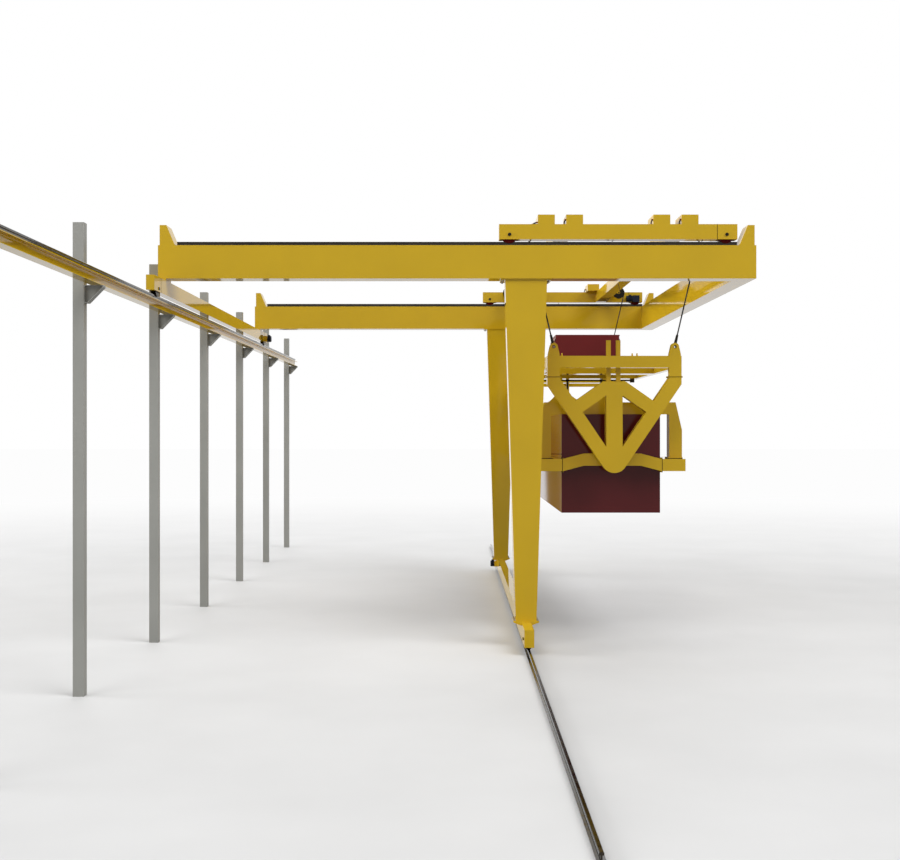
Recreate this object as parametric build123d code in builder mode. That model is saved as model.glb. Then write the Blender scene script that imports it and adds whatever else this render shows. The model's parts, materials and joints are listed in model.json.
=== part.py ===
from build123d import *
from math import asin, atan2, cos, degrees, hypot, radians, sin, sqrt
import os

# Semi-gantry crane with a turning cradle for a shipping container, at real size in millimetres.
# X runs from the row of columns to the free ends of the girders, Y along the rails, Z up.
# The origin is on the ground, in the middle of the crane's width and of the ground rail's length.
# Near is the low end of Y and far the high end. The left side is the columns' side.

# Overall layout
overall_width = 14460
bay_length = 6100
bay_count = 6
runway_overhang = 120
ground_rail_overrun = 3060
crane_y = 2280
girder_underside = 8690
running_clearance = 0.3

# Runway columns and the haunched brackets on them
column_width = 214
column_depth = 200
column_height = 9110
column_wall = 8
bracket_plate = 12
bracket_width = 180
bracket_root_depth = 345
bracket_tip_depth = 40
bracket_toe = 70
bracket_lip = 20

# Runway beam, an H section on the brackets
runway_offset = 237
beam_width = 220
beam_depth = 200
beam_flange = 15
beam_web = 9
beam_root_radius = 18

# Rails, all of one section
rail_height = 116
rail_foot_width = 120
rail_foot_edge = 10
rail_foot_depth = 24
rail_web = 22
rail_head_width = 66
rail_head_depth = 38
rail_head_corner = 8

# Girders and the beam that ties their free ends
girder_column_gap = 146
girder_width = 550
girder_depth = 785
rail_gauge = 14630
girder_plate = 10
tie_beam_width = 470
tie_beam_plate = 8

# End stops on the girders
stop_inset = 40
stop_base_length = 358
stop_top_length = 158
stop_height = 475
stop_plate = 12

# Legs
leg_overhang = 5421
leg_inset = 75
leg_top_width = 990
leg_bottom_width = 490
leg_depth = 600
leg_plate = 10
leg_top_plate_width = 1200
leg_top_plate_depth = 640
leg_top_plate = 30
leg_base_plate_width = 608
leg_base_plate_depth = 700
leg_base_plate = 32
base_gusset_height = 76
base_gusset_plate = 16

# End carriages: the sill beam under the legs and the carriage on the runway
carriage_length = 17460
carriage_plate = 10
carriage_wheel_inset = 450
wheel_pocket_margin = 25
sill_width = 224
sill_depth = 400
sill_rail_gap = 68
sill_wheel_radius = 200
runway_carriage_width = 192
runway_carriage_depth = 344
runway_carriage_gap = 77
runway_wheel_radius = 150
girder_pad = 48

# Wheels, all double flanged
wheel_tread_width = 76
wheel_flange_width = 22
wheel_flange_height = 38
axle_radius = 35
axle_overhang = 18

# Travel drives on the end carriages
drive_box_length = 250
drive_box_height = 210
drive_box_thickness = 80
drive_motor_radius = 98
drive_motor_length = 132
runway_drive_rise = 46
sill_drive_drop = 30

# Trolley
trolley_length = 5640
trolley_stop_gap = 19
trolley_frame_width = 300
trolley_frame_depth = 358
trolley_frame_gap = 43
trolley_plate = 8
trolley_wheel_radius = 158
trolley_wheel_inset = 248
cross_beam_width = 350
cross_beam_depth = 336
cross_beam_offset = 1340
hoist_box_width = 400
hoist_box_height = 226
hoist_box_length = 825
hoist_box_inner_offset = 1032
hoist_box_outer_offset = 1700
hoist_box_plate = 8
trolley_drive_box_length = 240
trolley_drive_box_width = 200
trolley_drive_box_height = 230
trolley_drive_motor_radius = 95
trolley_drive_motor_length = 205

# Hoist ropes, their guide sheaves and sockets
rope_diameter = 36
sheave_radius = 200
sheave_groove_depth = 30
sheave_width = 70
sheave_offset = 1922
sheave_lift = 286
sheave_cheek = 12
sheave_cheek_gap = 4
sheave_pin_radius = 30
sheave_boss = 45
sheave_slot_margin = 24
rope_inlet = 120
socket_length = 300
socket_base_radius = 42
socket_eye_radius = 78
socket_eye_width = 100
socket_pin_radius = 40
socket_pin_bore = 27
socket_wall = 10

# Spreader: heights are above the pivot of the cradle
pivot_height = 4394
spreader_end_offset = 6790
lifting_beam_half = 1624
lifting_beam_thickness = 170
lifting_beam_bottom = 2236
lifting_beam_depth = 286
lifting_plate = 10
stub_width = 300
stub_flange = 20
stub_flange_lip = 24
lug_offset = 1467
lug_height = 220
lug_base_width = 280
lug_top_radius = 96
lug_cheek = 25
side_beam_width = 150
cross_member_width = 800
cross_member_offset = 3200
middle_member_width = 900
spreader_plate = 8
member_lug_height = 284
member_lug_length = 320
member_lug_plate = 24
member_lug_offset = 1015
member_lug_pitch = 130
member_lug_radius = 60
member_lug_hole = 25

# Yokes
yoke_thickness = 300
yoke_height = 2011
yoke_shoulder = 1834
yoke_base_radius = 315
yoke_arm_width = 330
yoke_post_width = 396
yoke_kite_top = 1897
yoke_kite_half = 280
yoke_brace_width = 320
yoke_brace_angle = 35
yoke_plate = 12
yoke_boss_radius = 190
guide_post_size = 105
guide_post_wall = 6
guide_post_offset = 118
guide_post_height = 1014
guide_post_gap = 15

# Power unit, cross shaft and latch levers at the spreader's middle
cabinet_width = 1820
cabinet_length = 1800
cabinet_height = 957
cabinet_sheet = 5
shaft_radius = 20
shaft_drop = 42
shaft_bearing = 120
latch_offset = 500
latch_hub_radius = 36
latch_hub_width = 80
latch_rod_radius = 30
latch_reach = 295

# Cradle
cradle_face_offset = 6390
cradle_beam_width = 566
cradle_beam_depth = 300
cradle_beam_inner = 1229
cradle_beam_drop = 283
cradle_plate = 8
crossbar_thickness = 250
crossbar_flat_half = 700
crossbar_bend_radius = 260
crossbar_flange = 25
crossbar_flange_lip = 30
trunnion_radius = 90
trunnion_depth = 180
collar_radius = 150
collar_gap = 5
arch_face_offset = 5950
arch_thickness = 350
arch_half = 1789
arch_top_half = 1630
arch_post_width = 320
arch_beam_depth = 299
arch_foot = 39
arch_foot_lip = 40
arch_plate = 10
arch_bevel_height = 726
middle_arch_reach = 1900
middle_arch_post_width = 430
cradle_lug_inner = 250
cradle_lug_outer = 1050
cradle_lug_height = 310
cradle_lug_corner = 170
cradle_lug_plate = 80
container_top = 1116
container_width = 2438
container_height = 2438
container_length = 12192
container_sheet = 4

# Places worked out from the sizes above
column_x = -overall_width / 2 + column_width / 2
column_face_x = column_x + column_width / 2
column_row_length = bay_count * bay_length
ground_rail_length = column_row_length + 2 * runway_overhang + ground_rail_overrun
runway_length = column_row_length + 2 * runway_overhang
runway_start = ground_rail_length / 2 - runway_length
column_places = [runway_start + runway_overhang + bay * bay_length for bay in range(bay_count + 1)]
runway_x = column_face_x + runway_offset
girder_left = column_face_x + girder_column_gap
girder_right = overall_width / 2
girder_length = girder_right - girder_left
leg_x = girder_right - leg_overhang
girder_top = girder_underside + girder_depth
rail_top = girder_top + rail_height
runway_carriage_bottom = girder_underside - girder_pad - runway_carriage_depth
runway_rail_top = runway_carriage_bottom - runway_carriage_gap
beam_top = runway_rail_top - rail_height
beam_underside = beam_top - beam_depth
sill_bottom = rail_height + sill_rail_gap
sill_top = sill_bottom + sill_depth
leg_bottom = sill_top + leg_base_plate
leg_top = girder_underside - leg_top_plate
leg_offset = rail_gauge / 2 - leg_inset
trolley_frame_bottom = rail_top + trolley_frame_gap
trolley_frame_top = trolley_frame_bottom + trolley_frame_depth
trolley_right = girder_right - stop_inset - stop_base_length - trolley_stop_gap
trolley_left = trolley_right - trolley_length
trolley_x = trolley_right - trolley_length / 2
lifting_beam_top = lifting_beam_bottom + lifting_beam_depth
stub_height = lifting_beam_bottom - yoke_height
rope_offset = spreader_end_offset - lifting_beam_thickness / 2
arch_base = cradle_beam_depth - cradle_beam_drop
arch_top = container_top + arch_beam_depth
NEAR_FAR = (("near", -1), ("far", 1))
LEFT_RIGHT = (("left", -1), ("right", 1))

os.makedirs("parts", exist_ok=True)


def along_x(x, y, z):
    """A plane whose normal runs along X, with Y across it and Z up it."""
    return Plane((x, y, z), x_dir=(0, 1, 0), z_dir=(1, 0, 0))


def along_y(x, y, z, way=1):
    """A plane whose normal runs along Y, or against it where way is -1, with Z up it."""
    return Plane((x, y, z), x_dir=(-way, 0, 0), z_dir=(0, way, 0))


def upright(x, y, z):
    """A level plane, with X across it."""
    return Plane((x, y, z), x_dir=(1, 0, 0), z_dir=(0, 0, 1))


def keep(builder, name):
    """Labels a finished piece and writes it to its file."""
    builder.part.label = name
    export_step(builder.part, f"parts/{name}.step")


def box_beam(plane, width, depth, length, wall):
    """A closed box of plates along the plane's normal, centred on it."""
    with BuildSketch(plane) as outside:
        Rectangle(width, depth)
    extrude(outside.sketch, amount=length)
    with BuildSketch(plane.offset(wall)) as inside:
        Rectangle(width - 2 * wall, depth - 2 * wall)
    extrude(inside.sketch, amount=length - 2 * wall, mode=Mode.SUBTRACT)


def slab(plane, width, depth, thickness, mode=Mode.ADD):
    """A plain plate, or the room for one, along the plane's normal and centred on it."""
    with BuildSketch(plane) as outline:
        Rectangle(width, depth)
    extrude(outline.sketch, amount=thickness, mode=mode)


def disc(plane, radius, thickness, mode=Mode.ADD):
    """A round piece or hole along the plane's normal, centred on it."""
    with BuildSketch(plane) as outline:
        Circle(radius)
    extrude(outline.sketch, amount=thickness, mode=mode)


def rail(plane, length):
    """A flat-bottomed crane rail along the plane's normal, standing on its origin."""
    head_base = rail_height - rail_head_depth
    with BuildSketch(plane) as section:
        with BuildLine():
            Polyline(
                (0, 0),
                (rail_foot_width / 2, 0),
                (rail_foot_width / 2, rail_foot_edge),
                (rail_web / 2, rail_foot_depth),
                (rail_web / 2, head_base),
                (rail_head_width / 2, head_base),
                (rail_head_width / 2, rail_height - rail_head_corner),
                (rail_head_width / 2 - rail_head_corner, rail_height),
                (0, rail_height),
                close=True,
            )
        make_face()
        mirror(about=Plane.YZ)
    extrude(section.sketch, amount=length)


def lug(plane, base_width, height, top_radius, hole_radius, thickness):
    """A lug that tapers to a round top about its hole, standing on the plane's origin."""
    with BuildSketch(plane) as outline:
        with Locations((0, height)):
            Circle(top_radius)
        with Locations((0, hole_radius / 2)):
            Rectangle(base_width, hole_radius)
        make_hull()
        with Locations((0, height)):
            Circle(hole_radius, mode=Mode.SUBTRACT)
    extrude(outline.sketch, amount=thickness)


def carriage(plane, width, depth, length, wall, wheel_inset, wheel_radius, wheel_rise):
    """A box beam along the plane's normal with a wheel pocket, open below, near each end."""
    pocket_half = wheel_radius + wheel_flange_height + wheel_pocket_margin
    inner_width = width - 2 * wall
    inner_depth = depth - 2 * wall
    pocket_length = wheel_inset + pocket_half - wall
    slab(plane, width, depth, length)
    for start in (wall, length - wall - pocket_length):
        slab(plane.offset(start), inner_width, inner_depth, pocket_length, Mode.SUBTRACT)
    middle_length = length - 4 * wall - 2 * pocket_length
    slab(plane.offset(2 * wall + pocket_length), inner_width, inner_depth, middle_length, Mode.SUBTRACT)
    for place in (wheel_inset, length - wheel_inset):
        mouth = plane.from_local_coords((0, -depth / 2, place))
        underside = Plane(mouth, x_dir=plane.x_dir, z_dir=plane.y_dir)
        slab(underside, inner_width, 2 * pocket_half, wall, Mode.SUBTRACT)
    for axle in axle_planes(plane, length, wheel_inset, wheel_rise):
        disc(axle.offset(-width), axle_radius + running_clearance, 2 * width, Mode.SUBTRACT)


def axle_planes(plane, length, wheel_inset, wheel_rise):
    """The planes of a carriage's two wheels, with the normal along the axle."""
    places = (wheel_inset, length - wheel_inset)
    middles = [plane.from_local_coords((0, wheel_rise, place)) for place in places]
    return [Plane(middle, z_dir=plane.x_dir) for middle in middles]


def wheel(plane, tread_radius, axle_length):
    """A double-flanged wheel and its axle, centred on the plane's origin."""
    flange_span = wheel_tread_width + 2 * wheel_flange_width
    disc(plane.offset(-flange_span / 2), tread_radius + wheel_flange_height, wheel_flange_width)
    disc(plane.offset(-wheel_tread_width / 2), tread_radius, wheel_tread_width)
    disc(plane.offset(wheel_tread_width / 2), tread_radius + wheel_flange_height, wheel_flange_width)
    disc(plane.offset(-axle_length / 2), axle_radius, axle_length)


def yoke_outline():
    """The truss of a yoke about its pivot: two arms, a post and two braces below a flat top."""
    corner_turn = atan2(lifting_beam_half, yoke_shoulder)
    arm_turn = corner_turn - asin(yoke_base_radius / hypot(lifting_beam_half, yoke_shoulder))
    down_x, down_z = sin(arm_turn), -cos(arm_turn)
    inward_x, inward_z = cos(arm_turn), sin(arm_turn)
    stub_inner = lifting_beam_half - stub_width
    # The arm's inner edge starts below the stub's inner side, at this height.
    edge_run = (lifting_beam_half - yoke_arm_width * inward_x - stub_inner) / down_x
    edge_height = yoke_shoulder + yoke_arm_width * inward_z + edge_run * down_z
    brace_turn = radians(yoke_brace_angle)
    brace_x, brace_z = -cos(brace_turn), -sin(brace_turn)
    # The brace runs from the corner of the flat top to the middle of the arm.
    top_to_edge = (yoke_base_radius - yoke_arm_width / 2) + (
        -yoke_kite_half * inward_x + yoke_kite_top * inward_z
    )
    brace_length = top_to_edge / -(brace_x * inward_x + brace_z * inward_z)
    Circle(yoke_base_radius)
    with Locations((0, yoke_kite_top / 2)):
        Rectangle(yoke_post_width, yoke_kite_top)
    for side in (-1, 1):
        Polygon(
            (side * lifting_beam_half, yoke_height),
            (side * lifting_beam_half, yoke_shoulder),
            (side * yoke_base_radius * inward_x, -yoke_base_radius * inward_z),
            (
                side * (yoke_base_radius - yoke_arm_width) * inward_x,
                (yoke_arm_width - yoke_base_radius) * inward_z,
            ),
            (side * stub_inner, edge_height),
            (side * stub_inner, yoke_height),
            align=None,
        )
        Polygon(
            (0, yoke_kite_top),
            (side * yoke_kite_half, yoke_kite_top),
            (side * (yoke_kite_half - brace_length * brace_x), yoke_kite_top + brace_length * brace_z),
            (
                side * (yoke_kite_half - brace_length * brace_x + yoke_brace_width * brace_z),
                yoke_kite_top + brace_length * brace_z + yoke_brace_width * brace_x,
            ),
            (
                side * (yoke_kite_half + yoke_brace_width * brace_z),
                yoke_kite_top + yoke_brace_width * brace_x,
            ),
            align=None,
        )


# The runway: columns, brackets, beam and rails
with BuildPart() as runway_columns:
    for column_y in column_places:
        box_beam(upright(column_x, column_y, 0), column_width, column_depth, column_height, column_wall)
keep(runway_columns, "runway_columns")

with BuildPart() as runway_brackets:
    bracket_reach = runway_offset + beam_width / 2 + bracket_lip
    bracket_outline = (
        (0, 0),
        (bracket_reach, 0),
        (bracket_reach, -bracket_tip_depth),
        (bracket_toe, -bracket_root_depth),
        (0, -bracket_root_depth),
    )
    for column_y in column_places:
        bracket_face = Plane((column_face_x, column_y, beam_underside), x_dir=(1, 0, 0), z_dir=(0, -1, 0))
        with BuildSketch(bracket_face.offset(-bracket_width / 2)):
            Polygon(*bracket_outline, align=None)
        extrude(amount=bracket_width)
        # The side pockets leave the web between the back, top and sloping plates.
        for start in (-bracket_width / 2, bracket_plate / 2):
            with BuildSketch(bracket_face.offset(start)):
                Polygon(*bracket_outline, align=None)
                offset(amount=-bracket_plate, kind=Kind.INTERSECTION, mode=Mode.REPLACE)
            extrude(amount=(bracket_width - bracket_plate) / 2, mode=Mode.SUBTRACT)
keep(runway_brackets, "runway_brackets")

with BuildPart() as runway_beam:
    beam_middle = beam_underside + beam_depth / 2
    beam_start = along_y(runway_x, runway_start, beam_middle)
    with BuildSketch(beam_start) as section:
        Rectangle(beam_width, beam_depth)
        for side in (-1, 1):
            with Locations((side * (beam_width + beam_web) / 4, 0)):
                Rectangle((beam_width - beam_web) / 2, beam_depth - 2 * beam_flange, mode=Mode.SUBTRACT)
        fillet(section.vertices().filter_by_position(Axis.X, -beam_web, beam_web), beam_root_radius)
    extrude(amount=runway_length)
keep(runway_beam, "runway_beam")

with BuildPart() as runway_rail:
    rail(along_y(runway_x, runway_start, beam_top), runway_length)
keep(runway_rail, "runway_rail")

with BuildPart() as ground_rail:
    rail(along_y(leg_x, -ground_rail_length / 2, 0), ground_rail_length)
keep(ground_rail, "ground_rail")

# The crane's bridge: girders, rails, stops and the tie beam at the free ends
for end_name, end in NEAR_FAR:
    with BuildPart() as girder:
        girder_y = crane_y + end * rail_gauge / 2
        girder_plane = along_x(girder_left, girder_y, girder_underside + girder_depth / 2)
        box_beam(girder_plane, girder_width, girder_depth, girder_length, girder_plate)
    keep(girder, f"{end_name}_girder")

with BuildPart() as girder_rails:
    rail_inset = stop_inset + stop_base_length
    for end_name, end in NEAR_FAR:
        girder_y = crane_y + end * rail_gauge / 2
        rail(along_x(girder_left + rail_inset, girder_y, girder_top), girder_length - 2 * rail_inset)
keep(girder_rails, "girder_rails")

with BuildPart() as rail_stops:
    for end_name, end in NEAR_FAR:
        stop_y = crane_y + end * rail_gauge / 2
        for side in (-1, 1):
            stop_x = side * (girder_length / 2 - stop_inset) + girder_right - girder_length / 2
            stop_face = Plane((stop_x, stop_y, girder_top), x_dir=(1, 0, 0), z_dir=(0, -1, 0))
            stop_outline = (
                (0, 0),
                (-side * stop_base_length, 0),
                (-side * stop_top_length, stop_height),
                (0, stop_height),
            )
            with BuildSketch(stop_face.offset(-girder_width / 2)):
                Polygon(*stop_outline, align=None)
            extrude(amount=girder_width)
            with BuildSketch(stop_face.offset(stop_plate - girder_width / 2)):
                Polygon(*stop_outline, align=None)
                offset(amount=-stop_plate, kind=Kind.INTERSECTION, mode=Mode.REPLACE)
            extrude(amount=girder_width - 2 * stop_plate, mode=Mode.SUBTRACT)
keep(rail_stops, "rail_stops")

with BuildPart() as end_tie_beam:
    tie_length = rail_gauge - girder_width
    tie_plane = along_y(
        girder_right - tie_beam_width / 2, crane_y - tie_length / 2, girder_underside + girder_depth / 2
    )
    box_beam(tie_plane, tie_beam_width, girder_depth, tie_length, tie_beam_plate)
keep(end_tie_beam, "end_tie_beam")

# Legs and their plates
for end_name, end in NEAR_FAR:
    with BuildPart() as leg:
        leg_y = crane_y + end * leg_offset
        leg_face = Plane((leg_x, leg_y + leg_depth / 2, 0), x_dir=(1, 0, 0), z_dir=(0, -1, 0))
        for inset, mode in ((0, Mode.ADD), (leg_plate, Mode.SUBTRACT)):
            with BuildSketch(leg_face.offset(inset)):
                Polygon(
                    (-leg_bottom_width / 2, leg_bottom),
                    (leg_bottom_width / 2, leg_bottom),
                    (leg_top_width / 2, leg_top),
                    (-leg_top_width / 2, leg_top),
                    align=None,
                )
                if inset:
                    offset(amount=-inset, kind=Kind.INTERSECTION, mode=Mode.REPLACE)
            extrude(amount=leg_depth - 2 * inset, mode=mode)
    keep(leg, f"{end_name}_leg")

with BuildPart() as leg_flanges:
    for end_name, end in NEAR_FAR:
        leg_y = crane_y + end * leg_offset
        slab(upright(leg_x, leg_y, sill_top), leg_base_plate_width, leg_base_plate_depth, leg_base_plate)
        slab(upright(leg_x, leg_y, leg_top), leg_top_plate_width, leg_top_plate_depth, leg_top_plate)
        # Gussets brace each overhang of the base plate off the sides of the sill beam.
        for side in (-1, 1):
            for gusset_offset in (base_gusset_plate - leg_base_plate_depth / 2, leg_base_plate_depth / 2):
                gusset_start = (leg_x, leg_y + gusset_offset, sill_top)
                with BuildSketch(Plane(gusset_start, x_dir=(1, 0, 0), z_dir=(0, -1, 0))):
                    Polygon(
                        (side * sill_width / 2, 0),
                        (side * leg_base_plate_width / 2, 0),
                        (side * sill_width / 2, -base_gusset_height),
                        align=None,
                    )
                extrude(amount=base_gusset_plate)
keep(leg_flanges, "leg_flanges")

# End carriages, their wheels and the drives at their far ends
carriage_start = crane_y - carriage_length / 2
sill_plane = along_y(leg_x, carriage_start, sill_bottom + sill_depth / 2)
sill_rise = rail_height + sill_wheel_radius + running_clearance - sill_bottom - sill_depth / 2
upper_plane = along_y(runway_x, carriage_start, runway_carriage_bottom + runway_carriage_depth / 2)
upper_axle_z = runway_rail_top + runway_wheel_radius + running_clearance
upper_rise = upper_axle_z - runway_carriage_bottom - runway_carriage_depth / 2

with BuildPart() as sill_beam:
    carriage(
        sill_plane,
        sill_width,
        sill_depth,
        carriage_length,
        carriage_plate,
        carriage_wheel_inset,
        sill_wheel_radius,
        sill_rise,
    )
keep(sill_beam, "sill_beam")

with BuildPart() as runway_carriage:
    carriage(
        upper_plane,
        runway_carriage_width,
        runway_carriage_depth,
        carriage_length,
        carriage_plate,
        carriage_wheel_inset,
        runway_wheel_radius,
        upper_rise,
    )
    for end_name, end in NEAR_FAR:
        pad_y = crane_y + end * rail_gauge / 2
        slab(
            upright(runway_x, pad_y, girder_underside - girder_pad),
            runway_carriage_width,
            girder_width,
            girder_pad,
        )
keep(runway_carriage, "runway_carriage")

sill_axles = axle_planes(sill_plane, carriage_length, carriage_wheel_inset, sill_rise)
upper_axles = axle_planes(upper_plane, carriage_length, carriage_wheel_inset, upper_rise)
for index, (end_name, end) in enumerate(NEAR_FAR):
    with BuildPart() as sill_wheel:
        wheel(sill_axles[index], sill_wheel_radius, sill_width + 2 * axle_overhang)
    keep(sill_wheel, f"sill_wheel_{end_name}")
    with BuildPart() as runway_wheel:
        wheel(upper_axles[index], runway_wheel_radius, runway_carriage_width + 2 * axle_overhang)
    keep(runway_wheel, f"runway_wheel_{end_name}")

# Each drive stands on the inner side of its carriage, over the axle's end.
drive_places = (
    (sill_axles[1], -1, sill_width, -sill_drive_drop),
    (upper_axles[1], 1, runway_carriage_width, runway_drive_rise),
)
with BuildPart() as crane_gearboxes:
    for axle, side, beam_wide, rise in drive_places:
        inner_x = axle.origin.X + side * beam_wide / 2
        box_face = along_x(inner_x, axle.origin.Y, axle.origin.Z + rise)
        slab(box_face, drive_box_length, drive_box_height, side * drive_box_thickness)
        inner_face = along_x(inner_x, axle.origin.Y, axle.origin.Z)
        axle_room = side * (axle_overhang + running_clearance)
        disc(inner_face, axle_radius + running_clearance, axle_room, Mode.SUBTRACT)
keep(crane_gearboxes, "crane_gearboxes")

with BuildPart() as crane_motors:
    for axle, side, beam_wide, rise in drive_places:
        box_face = along_x(
            axle.origin.X + side * (beam_wide / 2 + drive_box_thickness),
            axle.origin.Y,
            axle.origin.Z + rise,
        )
        disc(box_face, drive_motor_radius, side * drive_motor_length)
keep(crane_motors, "crane_motors")

# The trolley's two side frames and their wheels
frame_middle = trolley_frame_bottom + trolley_frame_depth / 2
trolley_rise = rail_top + trolley_wheel_radius + running_clearance - frame_middle
trolley_axles = {}
for end_name, end in NEAR_FAR:
    frame_plane = along_x(trolley_left, crane_y + end * rail_gauge / 2, frame_middle)
    with BuildPart() as trolley_frame:
        carriage(
            frame_plane,
            trolley_frame_width,
            trolley_frame_depth,
            trolley_length,
            trolley_plate,
            trolley_wheel_inset,
            trolley_wheel_radius,
            trolley_rise,
        )
    keep(trolley_frame, f"trolley_{end_name}_frame")
    trolley_axles[end_name] = axle_planes(frame_plane, trolley_length, trolley_wheel_inset, trolley_rise)
    for index, (side_name, side) in enumerate(LEFT_RIGHT):
        with BuildPart() as trolley_wheel:
            axle_length = trolley_frame_width + 2 * axle_overhang
            wheel(trolley_axles[end_name][index], trolley_wheel_radius, axle_length)
        keep(trolley_wheel, f"trolley_wheel_{end_name}_{side_name}")

with BuildPart() as trolley_cross_beams:
    cross_length = rail_gauge - trolley_frame_width
    for side_name, side in LEFT_RIGHT:
        cross_plane = along_y(
            trolley_x + side * cross_beam_offset,
            crane_y - cross_length / 2,
            trolley_frame_bottom + cross_beam_depth / 2,
        )
        box_beam(cross_plane, cross_beam_width, cross_beam_depth, cross_length, trolley_plate)
keep(trolley_cross_beams, "trolley_cross_beams")

# Hoist housings stand on the side frames. The outer ones carry the cheeks of the guide sheaves.
sheave_z = trolley_frame_bottom + sheave_lift
cheek_start = sheave_width / 2 + sheave_cheek_gap
with BuildPart() as hoist_boxes:
    for end_name, end in NEAR_FAR:
        box_outside = crane_y + end * (rail_gauge + trolley_frame_width) / 2
        rope_y = crane_y + end * rope_offset
        for side_name, side in LEFT_RIGHT:
            for box_offset in (hoist_box_inner_offset, hoist_box_outer_offset):
                box_plane = along_y(
                    trolley_x + side * box_offset,
                    box_outside,
                    trolley_frame_top + hoist_box_height / 2,
                    -end,
                )
                box_beam(box_plane, hoist_box_width, hoist_box_height, hoist_box_length, hoist_box_plate)
            sheave_face = along_y(trolley_x + side * sheave_offset, rope_y, sheave_z)
            slot_half = cheek_start + sheave_cheek
            slot_radius = sheave_radius + sheave_slot_margin
            disc(sheave_face.offset(-slot_half), slot_radius, 2 * slot_half, Mode.SUBTRACT)
            cheek_root = hoist_box_outer_offset + hoist_box_width / 4 - sheave_offset
            for start in (cheek_start, -cheek_start - sheave_cheek):
                with BuildSketch(sheave_face.offset(start)):
                    Circle(sheave_boss)
                    with Locations((-side * cheek_root, trolley_frame_top - sheave_z)):
                        Rectangle(hoist_box_width / 2, 2 * hoist_box_plate)
                    make_hull()
                extrude(amount=sheave_cheek)
                pin_hole = sheave_pin_radius + running_clearance
                disc(sheave_face.offset(start), pin_hole, sheave_cheek, Mode.SUBTRACT)
keep(hoist_boxes, "hoist_boxes")

with BuildPart() as rope_sheaves:
    for end_name, end in NEAR_FAR:
        for side_name, side in LEFT_RIGHT:
            sheave_plane = along_y(trolley_x + side * sheave_offset, crane_y + end * rope_offset, sheave_z)
            rim_width = (sheave_width - rope_diameter - 2 * running_clearance) / 2
            disc(sheave_plane.offset(-sheave_width / 2), sheave_radius, rim_width)
            disc(sheave_plane.offset(sheave_width / 2 - rim_width), sheave_radius, rim_width)
            disc(sheave_plane.offset(-sheave_width / 2), sheave_radius - sheave_groove_depth, sheave_width)
            pin_half = cheek_start + 2 * sheave_cheek
            disc(sheave_plane.offset(-pin_half), sheave_pin_radius, 2 * pin_half)
keep(rope_sheaves, "rope_sheaves")

# Each rope leaves the hollow pin of its lug and runs straight to the outer side of its sheave.
rope_radius = rope_diameter / 2
wrap_radius = sheave_radius - sheave_groove_depth + rope_radius + running_clearance
pin_z = pivot_height + lifting_beam_top + lug_height
rope_across = sheave_offset - lug_offset
rope_rise = sheave_z - pin_z
rope_reach = hypot(rope_across, rope_rise)
rope_lean = atan2(rope_across, rope_rise) + asin(wrap_radius / rope_reach)
rope_run = sqrt(rope_reach**2 - wrap_radius**2) - socket_length


def rope_plane(end, side, distance):
    """A plane square to a rope, at a distance along it from its lug's pin."""
    direction = (side * sin(rope_lean), 0, cos(rope_lean))
    place = (
        trolley_x + side * (lug_offset + distance * sin(rope_lean)),
        crane_y + end * rope_offset,
        pin_z + distance * cos(rope_lean),
    )
    return Plane(place, x_dir=(0, 1, 0), z_dir=direction)


with BuildPart() as hoist_ropes:
    for end_name, end in NEAR_FAR:
        for side_name, side in LEFT_RIGHT:
            disc(rope_plane(end, side, socket_length), rope_radius, rope_run)
keep(hoist_ropes, "hoist_ropes")

with BuildPart() as hoist_rope_bends:
    for end_name, end in NEAR_FAR:
        front = Plane((trolley_x, crane_y + end * rope_offset, 0), x_dir=(1, 0, 0), z_dir=(0, -1, 0))
        with BuildLine(front) as rope_path:
            lean = degrees(rope_lean)
            wrap = CenterArc((sheave_offset, sheave_z), wrap_radius, -lean, lean + 90)
            Line(wrap @ 1, wrap @ 1 - (rope_inlet, 0))
        with BuildSketch(Plane(rope_path.line @ 0, z_dir=rope_path.line % 0)):
            Circle(rope_radius)
        sweep(path=rope_path.line)
    mirror(about=Plane.YZ.offset(trolley_x))
keep(hoist_rope_bends, "hoist_rope_bends")

with BuildPart() as rope_sockets:
    for end_name, end in NEAR_FAR:
        for side_name, side in LEFT_RIGHT:
            pin_plane = along_y(trolley_x + side * lug_offset, crane_y + end * rope_offset, pin_z)
            disc(pin_plane.offset(-socket_eye_width / 2), socket_eye_radius, socket_eye_width)
            with BuildSketch(rope_plane(end, side, 0)):
                Circle(socket_base_radius)
            with BuildSketch(rope_plane(end, side, socket_length)):
                Circle(rope_radius + socket_wall)
            loft()
            pin_end = pin_plane.offset(-lifting_beam_thickness / 2)
            disc(pin_end, socket_pin_radius, lifting_beam_thickness)
            disc(pin_end, socket_pin_bore, lifting_beam_thickness, Mode.SUBTRACT)
keep(rope_sockets, "rope_sockets")

# Travel drives at the right wheels, inside the side frames, their motors lying along the frames
drive_reach = (trolley_frame_width + trolley_drive_box_width) / 2
with BuildPart() as trolley_gearboxes:
    for end_name, end in NEAR_FAR:
        axle_x, axle_y, axle_z = trolley_axles[end_name][1].origin
        frame_face = along_y(axle_x, axle_y - end * trolley_frame_width / 2, axle_z, -end)
        slab(frame_face, trolley_drive_box_length, trolley_drive_box_height, trolley_drive_box_width)
        disc(frame_face, axle_radius + running_clearance, axle_overhang + running_clearance, Mode.SUBTRACT)
keep(trolley_gearboxes, "trolley_gearboxes")

with BuildPart() as trolley_motors:
    for end_name, end in NEAR_FAR:
        axle_x, axle_y, axle_z = trolley_axles[end_name][1].origin
        box_side = along_x(axle_x - trolley_drive_box_length / 2, axle_y - end * drive_reach, axle_z)
        disc(box_side, trolley_drive_motor_radius, -trolley_drive_motor_length)
keep(trolley_motors, "trolley_motors")

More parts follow.
